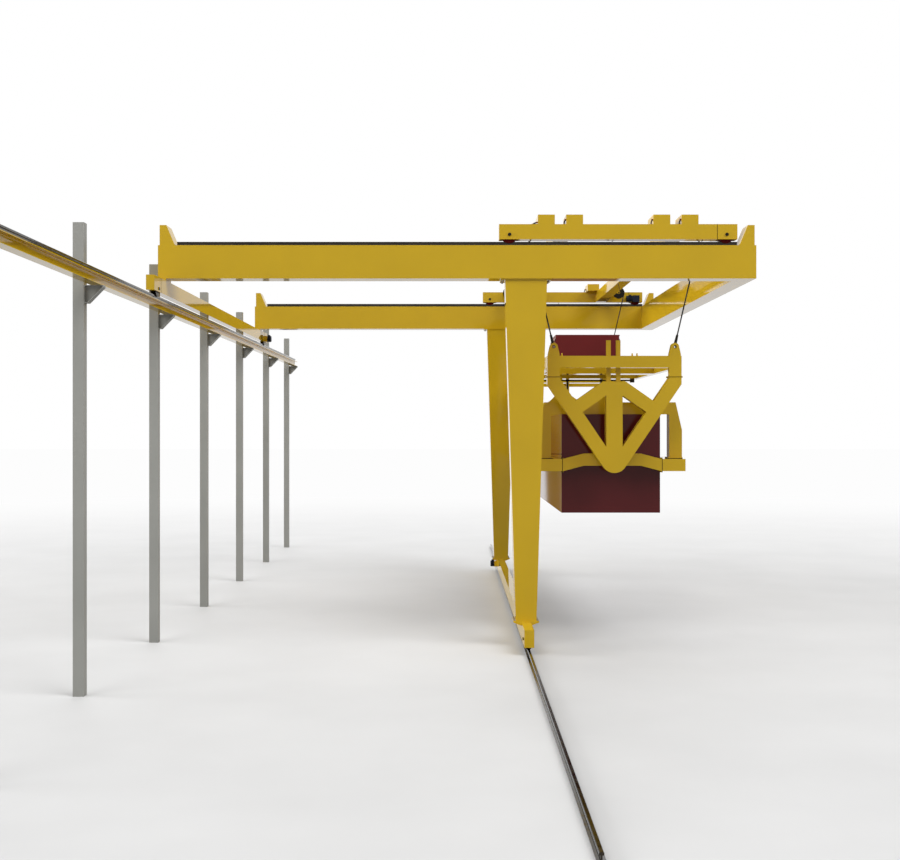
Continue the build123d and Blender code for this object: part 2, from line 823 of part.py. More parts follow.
# Spreader: the lifting beam, yoke and guide posts of each end face outwards
for end_name, end in NEAR_FAR:
    face_y = crane_y + end * spreader_end_offset
    face = along_y(trolley_x, face_y, pivot_height, -end)
    with BuildPart() as lifting_beam:
        for inset, mode in ((0, Mode.ADD), (lifting_plate, Mode.SUBTRACT)):
            with BuildSketch(face.offset(inset)):
                with Locations((0, lifting_beam_bottom + lifting_beam_depth / 2)):
                    Rectangle(2 * lifting_beam_half, lifting_beam_depth)
                for side in (-1, 1):
                    stub_offset = side * (lifting_beam_half - stub_width / 2)
                    with Locations((stub_offset, yoke_height + stub_height / 2)):
                        Rectangle(stub_width, stub_height)
                if inset:
                    offset(amount=-inset, kind=Kind.INTERSECTION, mode=Mode.REPLACE)
            extrude(amount=lifting_beam_thickness - 2 * inset, mode=mode)
        for side in (-1, 1):
            stub_x = trolley_x + side * (lifting_beam_half - stub_width / 2)
            stub_y = face_y - end * yoke_thickness / 2
            slab(
                upright(stub_x, stub_y, pivot_height + yoke_height),
                stub_width + 2 * stub_flange_lip,
                yoke_thickness,
                stub_flange,
            )
            lug_base = along_y(
                trolley_x + side * lug_offset, face_y, pivot_height + lifting_beam_top, -end
            )
            lug_hole = socket_pin_radius + running_clearance
            for start in (0, lifting_beam_thickness - lug_cheek):
                lug(lug_base.offset(start), lug_base_width, lug_height, lug_top_radius, lug_hole, lug_cheek)
    keep(lifting_beam, f"{end_name}_lifting_beam")

    with BuildPart() as yoke:
        for inset, mode in ((0, Mode.ADD), (yoke_plate, Mode.SUBTRACT)):
            with BuildSketch(face.offset(inset)):
                yoke_outline()
                if inset:
                    offset(amount=-inset, kind=Kind.INTERSECTION, mode=Mode.REPLACE)
            extrude(amount=yoke_thickness - 2 * inset, mode=mode)
        disc(face, yoke_boss_radius, yoke_thickness)
        bore_start = yoke_thickness - trunnion_depth - collar_gap
        disc(face.offset(bore_start), trunnion_radius + running_clearance, yoke_thickness, Mode.SUBTRACT)
        for side in (-1, 1):
            stub_x = trolley_x + side * (lifting_beam_half - stub_width / 2)
            slab(
                upright(stub_x, face_y - end * yoke_thickness / 2, pivot_height + yoke_height - stub_flange),
                stub_width + 2 * stub_flange_lip,
                yoke_thickness,
                stub_flange,
            )
    keep(yoke, f"{end_name}_yoke")

with BuildPart() as guide_posts:
    post_start = lifting_beam_thickness + guide_post_gap + guide_post_size / 2
    for end_name, end in NEAR_FAR:
        post_y = crane_y + end * (spreader_end_offset - post_start)
        for side in (-1, 1):
            box_beam(
                upright(trolley_x + side * guide_post_offset, post_y, pivot_height + yoke_kite_top),
                guide_post_size,
                guide_post_size,
                guide_post_height,
                guide_post_wall,
            )
keep(guide_posts, "guide_posts")

# The spreader's frame between the lifting beams
frame_half = spreader_end_offset - lifting_beam_thickness
member_middle = pivot_height + lifting_beam_bottom + lifting_beam_depth / 2
with BuildPart() as spreader_side_beams:
    for side in (-1, 1):
        side_plane = along_y(
            trolley_x + side * (lifting_beam_half - side_beam_width / 2), crane_y - frame_half, member_middle
        )
        box_beam(side_plane, side_beam_width, lifting_beam_depth, 2 * frame_half, spreader_plate)
keep(spreader_side_beams, "spreader_side_beams")

member_half = lifting_beam_half - side_beam_width
with BuildPart() as spreader_cross_members:
    for member_y, member_width in (
        (crane_y - cross_member_offset, cross_member_width),
        (crane_y, middle_member_width),
        (crane_y + cross_member_offset, cross_member_width),
    ):
        member_plane = along_x(trolley_x - member_half, member_y, member_middle)
        box_beam(member_plane, member_width, lifting_beam_depth, 2 * member_half, spreader_plate)
    for end_name, end in NEAR_FAR:
        for side in (-1, 1):
            for step in (-1, 1):
                lug_x = trolley_x + side * member_lug_offset + step * member_lug_pitch / 2
                lug_foot = along_x(
                    lug_x - member_lug_plate / 2,
                    crane_y + end * cross_member_offset,
                    pivot_height + lifting_beam_top,
                )
                lug(
                    lug_foot,
                    member_lug_length,
                    member_lug_height - member_lug_radius,
                    member_lug_radius,
                    member_lug_hole,
                    member_lug_plate,
                )
keep(spreader_cross_members, "spreader_cross_members")

with BuildPart() as power_unit:
    cabinet_plane = upright(trolley_x, crane_y, pivot_height + lifting_beam_top)
    box_beam(cabinet_plane, cabinet_width, cabinet_length, cabinet_height, cabinet_sheet)
keep(power_unit, "power_unit")

shaft_z = pivot_height + lifting_beam_bottom - shaft_drop
with BuildPart() as cross_shaft:
    disc(along_x(trolley_x - member_half, crane_y, shaft_z), shaft_radius, 2 * member_half)
    for side in (-1, 1):
        block_height = shaft_drop + shaft_bearing / 2
        slab(
            upright(
                trolley_x + side * (member_half - shaft_bearing / 2),
                crane_y,
                pivot_height + lifting_beam_bottom - block_height,
            ),
            shaft_bearing,
            shaft_bearing,
            block_height,
        )
keep(cross_shaft, "cross_shaft")

with BuildPart() as latch_levers:
    for side in (-1, 1):
        hub = along_x(trolley_x + side * latch_offset - latch_hub_width / 2, crane_y, shaft_z)
        rod_foot = upright(trolley_x + side * latch_offset, crane_y, shaft_z - latch_reach)
        disc(hub, latch_hub_radius, latch_hub_width)
        disc(rod_foot, latch_rod_radius, latch_reach)
        disc(hub, shaft_radius + running_clearance, latch_hub_width, Mode.SUBTRACT)
keep(latch_levers, "latch_levers")

# Cradle: side beams, crossbars with their trunnions, and arches
with BuildPart() as cradle_side_beams:
    for side in (-1, 1):
        beam_plane = along_y(
            trolley_x + side * (cradle_beam_inner + cradle_beam_width / 2),
            crane_y - cradle_face_offset,
            pivot_height - cradle_beam_drop + cradle_beam_depth / 2,
        )
        box_beam(beam_plane, cradle_beam_width, cradle_beam_depth, 2 * cradle_face_offset, cradle_plate)
keep(cradle_side_beams, "cradle_side_beams")

for end_name, end in NEAR_FAR:
    with BuildPart() as crossbar:
        bar_face = along_y(trolley_x, crane_y + end * cradle_face_offset, pivot_height, -end)
        bar_end = cradle_beam_inner - crossbar_flange
        end_rise = cradle_beam_depth / 2 - cradle_beam_drop
        for inset, mode in ((0, Mode.ADD), (cradle_plate, Mode.SUBTRACT)):
            with BuildSketch(bar_face.offset(inset)) as outline:
                Polygon(
                    (-bar_end, end_rise + cradle_beam_depth / 2),
                    (-crossbar_flat_half, cradle_beam_depth / 2),
                    (crossbar_flat_half, cradle_beam_depth / 2),
                    (bar_end, end_rise + cradle_beam_depth / 2),
                    (bar_end, end_rise - cradle_beam_depth / 2),
                    (crossbar_flat_half, -cradle_beam_depth / 2),
                    (-crossbar_flat_half, -cradle_beam_depth / 2),
                    (-bar_end, end_rise - cradle_beam_depth / 2),
                    align=None,
                )
                corners = outline.vertices()
                bends = corners.filter_by_position(Axis.X, -crossbar_flat_half, crossbar_flat_half)
                fillet(bends, crossbar_bend_radius)
                if inset:
                    offset(amount=-inset, kind=Kind.INTERSECTION, mode=Mode.REPLACE)
            extrude(amount=crossbar_thickness - 2 * inset, mode=mode)
        bar_middle_y = crane_y + end * (cradle_face_offset - crossbar_thickness / 2)
        for side in (-1, 1):
            slab(
                along_x(trolley_x + side * bar_end, bar_middle_y, pivot_height + end_rise),
                crossbar_thickness,
                cradle_beam_depth + 2 * crossbar_flange_lip,
                side * crossbar_flange,
            )
        collar = spreader_end_offset - yoke_thickness - cradle_face_offset - collar_gap
        disc(bar_face.offset(-collar), collar_radius, collar + cradle_plate)
        trunnion_reach = collar + collar_gap + trunnion_depth
        disc(bar_face.offset(-trunnion_reach), trunnion_radius, trunnion_reach + cradle_plate)
    keep(crossbar, f"{end_name}_crossbar")


def arch(offset_y, bevel_height, top_half, post_width):
    """A portal over the container, its outer corners bevelled, on flanged feet."""
    arch_face = along_y(trolley_x, offset_y, pivot_height)
    foot_top = arch_base + arch_foot
    for inset, mode in ((0, Mode.ADD), (arch_plate, Mode.SUBTRACT)):
        with BuildSketch(arch_face.offset(inset)) as portal:
            for side in (-1, 1):
                Polygon(
                    (0, arch_top),
                    (side * top_half, arch_top),
                    (side * arch_half, bevel_height),
                    (side * arch_half, foot_top),
                    (side * (arch_half - post_width), foot_top),
                    (side * (arch_half - post_width), container_top),
                    (0, container_top),
                    align=None,
                )
            if inset:
                offset(amount=-inset, kind=Kind.INTERSECTION, mode=Mode.REPLACE)
        extrude(portal.sketch, amount=arch_thickness - 2 * inset, mode=mode)
    foot_outside = cradle_beam_inner + cradle_beam_width
    foot_inside = arch_half - post_width - arch_foot_lip
    for side in (-1, 1):
        slab(
            upright(
                trolley_x + side * (foot_inside + foot_outside) / 2,
                offset_y + arch_thickness / 2,
                pivot_height + arch_base,
            ),
            foot_outside - foot_inside,
            arch_thickness + 2 * arch_foot_lip,
            arch_foot,
        )


with BuildPart() as near_cradle_arch:
    arch(crane_y - arch_face_offset, arch_bevel_height, arch_top_half, arch_post_width)
keep(near_cradle_arch, "near_cradle_arch")

with BuildPart() as far_cradle_arch:
    arch(
        crane_y + arch_face_offset - arch_thickness,
        arch_bevel_height,
        arch_top_half,
        arch_post_width,
    )
keep(far_cradle_arch, "far_cradle_arch")

# The middle arch is bevelled deeper, so that it turns clear of the latch levers, and has wider posts.
with BuildPart() as middle_cradle_arch:
    middle_bevel = sqrt(middle_arch_reach**2 - arch_half**2)
    middle_top_half = sqrt(middle_arch_reach**2 - arch_top**2)
    arch(crane_y - arch_thickness / 2, middle_bevel, middle_top_half, middle_arch_post_width)
keep(middle_cradle_arch, "middle_cradle_arch")

with BuildPart() as cradle_lugs:
    lug_plane = along_y(trolley_x, crane_y - cradle_lug_plate / 2, pivot_height + arch_top)
    for side in (-1, 1):
        with BuildSketch(lug_plane):
            Polygon(
                (side * cradle_lug_inner, 0),
                (side * (cradle_lug_inner + 2 * cradle_lug_corner), cradle_lug_height),
                (side * (cradle_lug_outer - cradle_lug_corner), cradle_lug_height),
                (side * cradle_lug_outer, cradle_lug_height - cradle_lug_corner),
                (side * cradle_lug_outer, 0),
                align=None,
            )
        extrude(amount=cradle_lug_plate)
keep(cradle_lugs, "cradle_lugs")

with BuildPart() as container:
    container_plane = upright(trolley_x, crane_y, pivot_height + container_top - container_height)
    box_beam(container_plane, container_width, container_length, container_height, container_sheet)
keep(container, "container")
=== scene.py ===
"""Finishes, fastenings, machine details and stage for a semi-gantry crane with a turning cradle."""

import json
from math import cos, pi, radians, sin

import bmesh
import bpy
from mathutils import Matrix, Vector


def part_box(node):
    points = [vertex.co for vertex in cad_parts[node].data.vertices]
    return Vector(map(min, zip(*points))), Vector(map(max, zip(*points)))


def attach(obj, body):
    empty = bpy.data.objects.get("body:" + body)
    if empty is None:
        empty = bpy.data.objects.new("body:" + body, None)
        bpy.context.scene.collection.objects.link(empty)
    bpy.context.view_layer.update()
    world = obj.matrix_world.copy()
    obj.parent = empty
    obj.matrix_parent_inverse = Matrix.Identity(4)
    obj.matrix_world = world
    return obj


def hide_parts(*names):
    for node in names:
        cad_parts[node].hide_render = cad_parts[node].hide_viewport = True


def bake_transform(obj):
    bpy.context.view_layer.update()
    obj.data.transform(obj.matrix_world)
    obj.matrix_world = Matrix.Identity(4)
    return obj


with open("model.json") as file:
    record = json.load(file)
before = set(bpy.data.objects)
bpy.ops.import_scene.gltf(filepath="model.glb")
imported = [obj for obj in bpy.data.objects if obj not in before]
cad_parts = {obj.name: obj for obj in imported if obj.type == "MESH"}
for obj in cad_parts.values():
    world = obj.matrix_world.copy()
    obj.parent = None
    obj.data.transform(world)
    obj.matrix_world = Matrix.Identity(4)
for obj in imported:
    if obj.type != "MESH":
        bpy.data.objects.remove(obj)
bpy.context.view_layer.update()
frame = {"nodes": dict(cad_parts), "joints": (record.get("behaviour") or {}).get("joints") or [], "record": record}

bl_info = {
    "name": "Gantry Crane Dressing",
    "version": (1, 0, 0),
    "blender": (4, 5, 0),
    "location": "View3D > Sidebar > Crane",
    "description": "Dresses the gantry crane with its finishes, fastenings and machine details",
    "category": "Object",
}

MM = 0.001
NEAR_FAR = (("near", -1), ("far", 1))
LEFT_RIGHT = (("left", -1), ("right", 1))
UP = (0, 0, 1)
DOWN = (0, 0, -1)
HEXAGON = 6

# The middle of the crane along the rails, and that of the trolley along the girders
CRANE_Y = (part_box("near_girder")[0].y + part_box("far_girder")[1].y) / 2
TROLLEY_X = (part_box("trolley_near_frame")[0].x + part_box("trolley_near_frame")[1].x) / 2

# What belongs to the sill lies below this height, and what belongs to the runway above it
SILL_REACH = 2.0


# Mesh tools


def new_piece(name, build, body, finish_name, smooth_below=None):
    """Makes a mesh object with a function that fills a bmesh, riding on a body if one is named."""
    mesh = bpy.data.meshes.new(name)
    shape = bmesh.new()
    build(shape)
    bmesh.ops.recalc_face_normals(shape, faces=shape.faces)
    shape.to_mesh(mesh)
    shape.free()
    piece = bpy.data.objects.new(name, mesh)
    bpy.context.scene.collection.objects.link(piece)
    mesh.materials.append(finish(finish_name))
    if smooth_below is not None:
        mesh.polygons.foreach_set("use_smooth", [True] * len(mesh.polygons))
        mesh.set_sharp_from_angle(angle=smooth_below)
    if body:
        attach(piece, body)
    return piece


def skin(shape, rings):
    """Joins rings of points into a closed form, with a cap on the first and on the last."""
    for low, high in zip(rings, rings[1:]):
        for index in range(len(low)):
            following = (index + 1) % len(low)
            shape.faces.new((low[index], low[following], high[following], high[index]))
    shape.faces.new(rings[0][::-1])
    shape.faces.new(rings[-1])


def facing(axis):
    """The rotation that turns Z to an axis, with Y kept as near to up as it can be."""
    nearly_upright = 0.99
    along = Vector(axis).normalized()
    up = Vector(UP) if abs(along.z) < nearly_upright else Vector((0, 1, 0))
    across = up.cross(along).normalized()
    return Matrix((across, along.cross(across), along)).transposed()


def ring_points(radius, count):
    """The corners of a regular outline about zero."""
    steps = [2 * pi * index / count for index in range(count)]
    return [(radius * cos(step), radius * sin(step)) for step in steps]


def prism(shape, centre, axis, outline, length, start=0.0):
    """Adds a closed prism: an outline of (across, up) points, pushed along an axis from a start."""
    turn = facing(axis)
    rings = []
    for reach in (start, start + length):
        rings.append([shape.verts.new(centre + turn @ Vector((x, y, reach))) for x, y in outline])
    skin(shape, rings)


def turned(shape, centre, axis, profile, segments):
    """Adds a turned form: (distance along the axis, radius) points swept round the axis."""
    turn = facing(axis)
    rings = []
    for reach, radius in profile:
        points = ring_points(radius, segments)
        rings.append([shape.verts.new(centre + turn @ Vector((x, y, reach))) for x, y in points])
    skin(shape, rings)


def tube(shape, path, radius, segments):
    """Adds a round tube along a list of points, with closed ends."""
    points = ring_points(radius, segments)
    rings = []
    for index, place in enumerate(path):
        before = path[max(index - 1, 0)]
        after = path[min(index + 1, len(path) - 1)]
        turn = facing(after - before)
        rings.append([shape.verts.new(place + turn @ Vector((x, y, 0))) for x, y in points])
    skin(shape, rings)


def block(shape, corner, opposite):
    """Adds a plain box between two opposite corners."""
    middle = (Vector(corner) + Vector(opposite)) / 2
    size = [abs(first - second) for first, second in zip(corner, opposite)]
    place = Matrix.Translation(middle) @ Matrix.Diagonal((*size, 1))
    bmesh.ops.create_cube(shape, size=1, matrix=place)


def bolt(shape, place, axis, across_flats):
    """Adds a washer and a hexagon head on a face, looking along the axis."""
    head_radius = across_flats / 2 / cos(pi / HEXAGON)
    head_height = 0.62 * across_flats
    washer_radius = 1.15 * head_radius
    washer_height = 0.12 * across_flats
    turned(shape, place, axis, [(0.0, washer_radius), (washer_height, washer_radius)], 16)
    prism(shape, place, axis, ring_points(head_radius, HEXAGON), head_height, washer_height)


def in_mm(points):
    """A profile in metres from one in millimetres."""
    return [(reach * MM, radius * MM) for reach, radius in points]


def spread(low, high, count):
    """Evenly spaced values from one end to the other."""
    return [low + (high - low) * index / (count - 1) for index in range(count)]


# Places on the CAD pieces


def at_end(point, end):
    """Whether a point is at the near end of the crane (-1) or at the far one (1)."""
    return end * (point.y - CRANE_Y) > 0


def on_side(point, side):
    """Whether a point is left of the trolley's middle (-1) or right of it (1)."""
    return side * (point.x - TROLLEY_X) > 0


def is_low(point):
    """Whether a point belongs to the sill side of the crane."""
    return point.z < SILL_REACH


def is_high(point):
    """Whether a point belongs to the runway side of the crane, or to its top."""
    return point.z > SILL_REACH


def node_points(name):
    """The places of a CAD node's vertices."""
    return [vertex.co for vertex in frame["nodes"][name].data.vertices]


def node_box(name, chosen):
    """The corners of the part of a CAD node whose points pass a test."""
    points = [point for point in node_points(name) if chosen(point)]
    low = Vector([min(point[axis] for point in points) for axis in range(3)])
    high = Vector([max(point[axis] for point in points) for axis in range(3)])
    return low, high


def foot_box(name, side):
    """The corners of a CAD node's underside, left of the trolley's middle or right of it."""
    foot_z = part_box(name)[0].z
    return node_box(name, lambda point: point.z < foot_z + MM and on_side(point, side))


def axle_place(wheel):
    """The place of a wheel's axle, which is that of its joint."""
    spin = next(joint for joint in frame["joints"] if joint["name"] == f"{wheel}_spin")
    return Vector(spin["pos_m"])


# Material tools


def linear(colour):
    """Turns an sRGB hex value to the linear colour that a shader takes, as a panel's already is."""
    if not isinstance(colour, str):
        return colour[:]
    channels = [int(colour[start : start + 2], 16) / 255 for start in (1, 3, 5)]
    channels = [c / 12.92 if c <= 0.04045 else ((c + 0.055) / 1.055) ** 2.4 for c in channels]
    return (*channels, 1.0)


def add(tree, kind, inputs=None, **settings):
    """Adds a shader node, with its settings, and its sockets filled with values or linked."""
    node = tree.nodes.new(kind)
    for name, value in settings.items():
        setattr(node, name, value)
    for name, value in (inputs or {}).items():
        if isinstance(value, bpy.types.NodeSocket):
            tree.links.new(value, node.inputs[name])
        else:
            node.inputs[name].default_value = value
    return node


def start_material(name):
    """A new material with only its output, and the object's own coordinates."""
    material = bpy.data.materials.new(name)
    material.use_nodes = True
    tree = material.node_tree
    tree.nodes.clear()
    output = add(tree, "ShaderNodeOutputMaterial")
    place = add(tree, "ShaderNodeTexCoord").outputs["Object"]
    return material, tree, output, place


def patches(tree, place, size_mm, low, high, detail=3.0):
    """A soft noise with patches of a real size, spread between two values."""
    noise_inputs = {"Vector": place, "Scale": 1 / (size_mm * MM), "Detail": detail}
    noise = add(tree, "ShaderNodeTexNoise", noise_inputs).outputs["Fac"]
    # Nearly all of the noise lies between these two, so they are taken as its ends.
    noise_range = {"From Min": 0.3, "From Max": 0.7, "To Min": low, "To Max": high}
    return add(tree, "ShaderNodeMapRange", {"Value": noise, **noise_range}).outputs["Result"]


def blended(tree, factor, first, second):
    """A colour between two, each of them a linear colour or a socket."""
    # A colour mix keeps its factor in its first socket, and its colours in the seventh and eighth.
    mix = add(tree, "ShaderNodeMix", {0: factor, 6: first, 7: second}, data_type="RGBA")
    return mix.outputs[2]


def tones(tree, factor, first, second):
    """A colour between two, each of them an sRGB hex value or a panel's colour."""
    return blended(tree, factor, linear(first), linear(second))


def bumps(tree, height, depth_mm, under=None):
    """A bump whose depth is a real size in millimetres, laid on another if one is given."""
    inputs = {"Height": height, "Distance": depth_mm * MM, "Strength": 1.0}
    if under is not None:
        inputs["Normal"] = under
    return add(tree, "ShaderNodeBump", inputs).outputs["Normal"]


def close_material(tree, output, inputs):
    """Ends a material in one surface."""
    surface = add(tree, "ShaderNodeBsdfPrincipled", inputs)
    tree.links.new(surface.outputs["BSDF"], output.inputs["Surface"])


def paint(name, tone, worn_tone, roughness, coat, coat_roughness, wave_mm=1600, wave_depth_mm=0.9):
    """Enamel sprayed on welded plate: an even tone, a gloss coat and a slow wave in the plate."""
    wear_mm = 1400
    gloss_mm = 500
    gloss_spread = 0.04
    # Orange peel is a few millimetres across, so it is drawn larger to show at all.
    peel_mm = 30
    peel_depth_mm = 0.03
    material, tree, output, place = start_material(name)
    colour = tones(tree, patches(tree, place, wear_mm, 0.0, 1.0), tone, worn_tone)
    rough = patches(tree, place, gloss_mm, roughness - gloss_spread, roughness + gloss_spread)
    peel = patches(tree, place, peel_mm, 0.0, 1.0, detail=1.0)
    wave = patches(tree, place, wave_mm, 0.0, 1.0, detail=0.0)
    normal = bumps(tree, wave, wave_depth_mm, under=bumps(tree, peel, peel_depth_mm))
    inputs = {
        "Base Color": colour,
        "Roughness": rough,
        "Specular IOR Level": 0.0,
        "Coat Weight": coat,
        # The low index keeps faces seen square on deep in colour, and lets slanted ones go pale.
        "Coat IOR": 1.25,
        "Coat Roughness": coat_roughness,
        "Normal": normal,
    }
    close_material(tree, output, inputs)
    return material


def metal(name, tone, worn_tone, roughness, grain_mm=40, metallic=1.0):
    """Bare steel with a rolled or oiled skin: two tones of scale and uneven gloss."""
    scale_mm = 260
    gloss_mm = 120
    gloss_spread = 0.08
    grain_depth_mm = 0.06
    material, tree, output, place = start_material(name)
    colour = tones(tree, patches(tree, place, scale_mm, 0.0, 1.0), tone, worn_tone)
    rough = patches(tree, place, gloss_mm, roughness - gloss_spread, roughness + gloss_spread)
    normal = bumps(tree, patches(tree, place, grain_mm, 0.0, 1.0), grain_depth_mm)
    inputs = {"Base Color": colour, "Roughness": rough, "Metallic": metallic, "Normal": normal}
    close_material(tree, output, inputs)
    return material


def wire_rope(name):
    """Greased wire rope: near black, with the ridges of its wires winding round each strand."""
    lay_mm = 250
    diameter_mm = 36
    slant = radians(38)
    ridges_per_lay = 6
    ridge_share = 0.12
    material, tree, output, place = start_material(name)
    # The wires cross the rope at a slant, so a tilted wave stands for their ridges.
    tilted = add(tree, "ShaderNodeMapping", {"Vector": place, "Rotation": (0, slant, 0)})
    wave_inputs = {
        "Vector": tilted.outputs["Vector"],
        "Scale": 1 / (lay_mm * MM) / ridges_per_lay,
        "Distortion": 0.4,
    }
    ridges = add(tree, "ShaderNodeTexWave", wave_inputs, bands_direction="Z").outputs["Fac"]
    # The colour steps from black to grey along each ridge: the grey is a painted glint on the wires.
    colour = tones(tree, ridges, "#141414", "#4A4844")
    normal = bumps(tree, ridges, diameter_mm * ridge_share)
    inputs = {"Base Color": colour, "Roughness": 0.45, "Metallic": 0.7, "Normal": normal}
    close_material(tree, output, inputs)
    return material


FINISHES = {}


def finish(slot):
    """The material of a slot, made on first use from the panel's settings."""
    if slot not in FINISHES:
        FINISHES[slot] = FINISH_MAKERS[slot](bpy.context.scene.crane_colours)
    return FINISHES[slot]


# Each finish is what such a crane has there, and the comment says what it gives the eye.
FINISH_MAKERS = {
    # Gloss enamel on welded plate: deep yellow, and near white where it mirrors a pale hall.
    "crane_paint": lambda colours: paint(
        "yellow gloss enamel", colours.crane_yellow, "#BD9B1E",
        roughness=0.4, coat=1.0, coat_roughness=0.05,
    ),
    # Satin grey topcoat on box columns: even and slightly soft.
    "column_paint": lambda colours: paint(
        "grey satin enamel", colours.column_grey, "#94948F",
        roughness=0.45, coat=0.4, coat_roughness=0.2,
    ),
    # Rolled rail steel, polished by the wheels: dark, with a hard shine that takes colours in.
    "rail_steel": lambda colours: metal(
        "polished rail steel", "#322F2B", "#3E3A33", roughness=0.14, grain_mm=90
    ),
    # Red oxide on cast wheels: dark and a little dull.
    "wheel_paint": lambda colours: paint(
        "red oxide on cast steel", "#5E0C0E", "#500A0C",
        roughness=0.5, coat=0.3, coat_roughness=0.25, wave_mm=300, wave_depth_mm=0.3,
    ),
    # Forged wheel steel: nearly black with a low shine.
    "wheel_steel": lambda colours: metal(
        "forged wheel steel", "#1E1C1A", "#2A2724", roughness=0.34, grain_mm=60
    ),
    # Dark blue machine enamel on castings.
    "machine_paint": lambda colours: paint(
        "navy machine enamel", "#1A1E2C", "#222739",
        roughness=0.4, coat=0.6, coat_roughness=0.12, wave_mm=200, wave_depth_mm=0.3,
    ),
    # Wire rope in old grease: black, with a slanting glint on each strand.
    "rope_steel": lambda colours: wire_rope("greased wire rope"),
    # Oiled machined steel: dark with a soft highlight.
    "dark_steel": lambda colours: metal(
        "oiled machined steel", "#24221E", "#322F29", roughness=0.36
    ),
    # Red sheet metal enamel on a cabinet: smoother and flatter than plate.
    "cabinet_paint": lambda colours: paint(
        "red cabinet enamel", colours.cabinet_red, "#662122",
        roughness=0.45, coat=0.6, coat_roughness=0.12,
    ),
    # Marine paint on a freight container: deep maroon with a clear gloss.
    "container_paint": lambda colours: paint(
        "maroon marine paint", colours.container_red, "#50181A",
        roughness=0.4, coat=1.0, coat_roughness=0.06,
    ),
    # Rubber in joints, on the feelers and round the conduits: black and matt. In the crane's bolted joints the
    # strips are painted shade, dark lines standing for the shadow along each joint.
    "rubber": lambda colours: paint(
        "matt black rubber", "#161514", "#1E1C1A",
        roughness=0.7, coat=0.0, coat_roughness=0.5, wave_mm=200, wave_depth_mm=0.2,
    ),
    # Anodised conduit unions: dull red metal.
    "fitting_red": lambda colours: metal(
        "red anodised fitting", "#8A2A20", "#7A241B", roughness=0.3, grain_mm=20, metallic=0.8
    ),
    # Zinc-plated bolts: a pale grey with a broken shine.
    "zinc": lambda colours: metal(
        "zinc-plated steel", "#A8A49A", "#8E8B83", roughness=0.32, grain_mm=12, metallic=0.85
    ),
}


# Settings that a user would change


def colour_setting(name, description, hex_colour):
    """A colour setting whose default is an sRGB hex value."""
    look = {"subtype": "COLOR", "size": 4, "min": 0, "max": 1, "default": linear(hex_colour)}
    return bpy.props.FloatVectorProperty(name=name, description=description, **look)


def length_setting(name, description, default):
    """A length setting in metres."""
    return bpy.props.FloatProperty(
        name=name, description=description, default=default, min=0, unit="LENGTH"
    )


class CraneColours(bpy.types.PropertyGroup):
    """The colours of the crane's paints."""

    crane_yellow: colour_setting(
        "Crane yellow", "Enamel of the crane, trolley, spreader and cradle", "#C3A01E"
    )
    column_grey: colour_setting(
        "Column grey", "Enamel of the columns and their brackets", "#9B9B96"
    )
    cabinet_red: colour_setting("Cabinet red", "Enamel of the power unit's cabinet", "#6E2324")
    container_red: colour_setting("Container red", "Paint of the freight container", "#561A1C")


class StageSettings(bpy.types.PropertyGroup):
    """The camera and floor."""

    camera_back: length_setting("Camera distance", "From the origin back to the camera", 34.76)
    camera_height: length_setting("Camera height", "Above the floor", 5.12)
    camera_right: length_setting("Camera to the right", "From the origin", 0.012)
    camera_lens: bpy.props.FloatProperty(
        name="Lens",
        description="Focal length on a 36 mm sensor, in millimetres",
        default=50.0,
        min=1,
    )
    floor_size: length_setting("Floor size", "Side of the square floor", 600.0)
    floor_white: length_setting(
        "Floor fades at", "Distance from the origin where the floor is white", 62.0
    )


# Steps


class CRANE_OT_finishes(bpy.types.Operator):
    """Gives every carried-over piece the finish of its slot"""

    bl_idname = "crane.finishes"
    bl_label = "Paint the Crane"

    def execute(self, context):
        for entry in frame["record"]["subparts"]:
            node = frame["nodes"][entry["node"]]
            node.data.materials.clear()
            node.data.materials.append(finish(entry["material_slot"]))
        return {"FINISHED"}


# How far a joint strip stands out past the plates it lies between, and half its usual thickness. The strips are
# dark rubber standing for the shadow line along each joint: painted shade.
JOINT_SHADOW_PROUD = 2 * MM
JOINT_SHADOW_HALF = 5 * MM


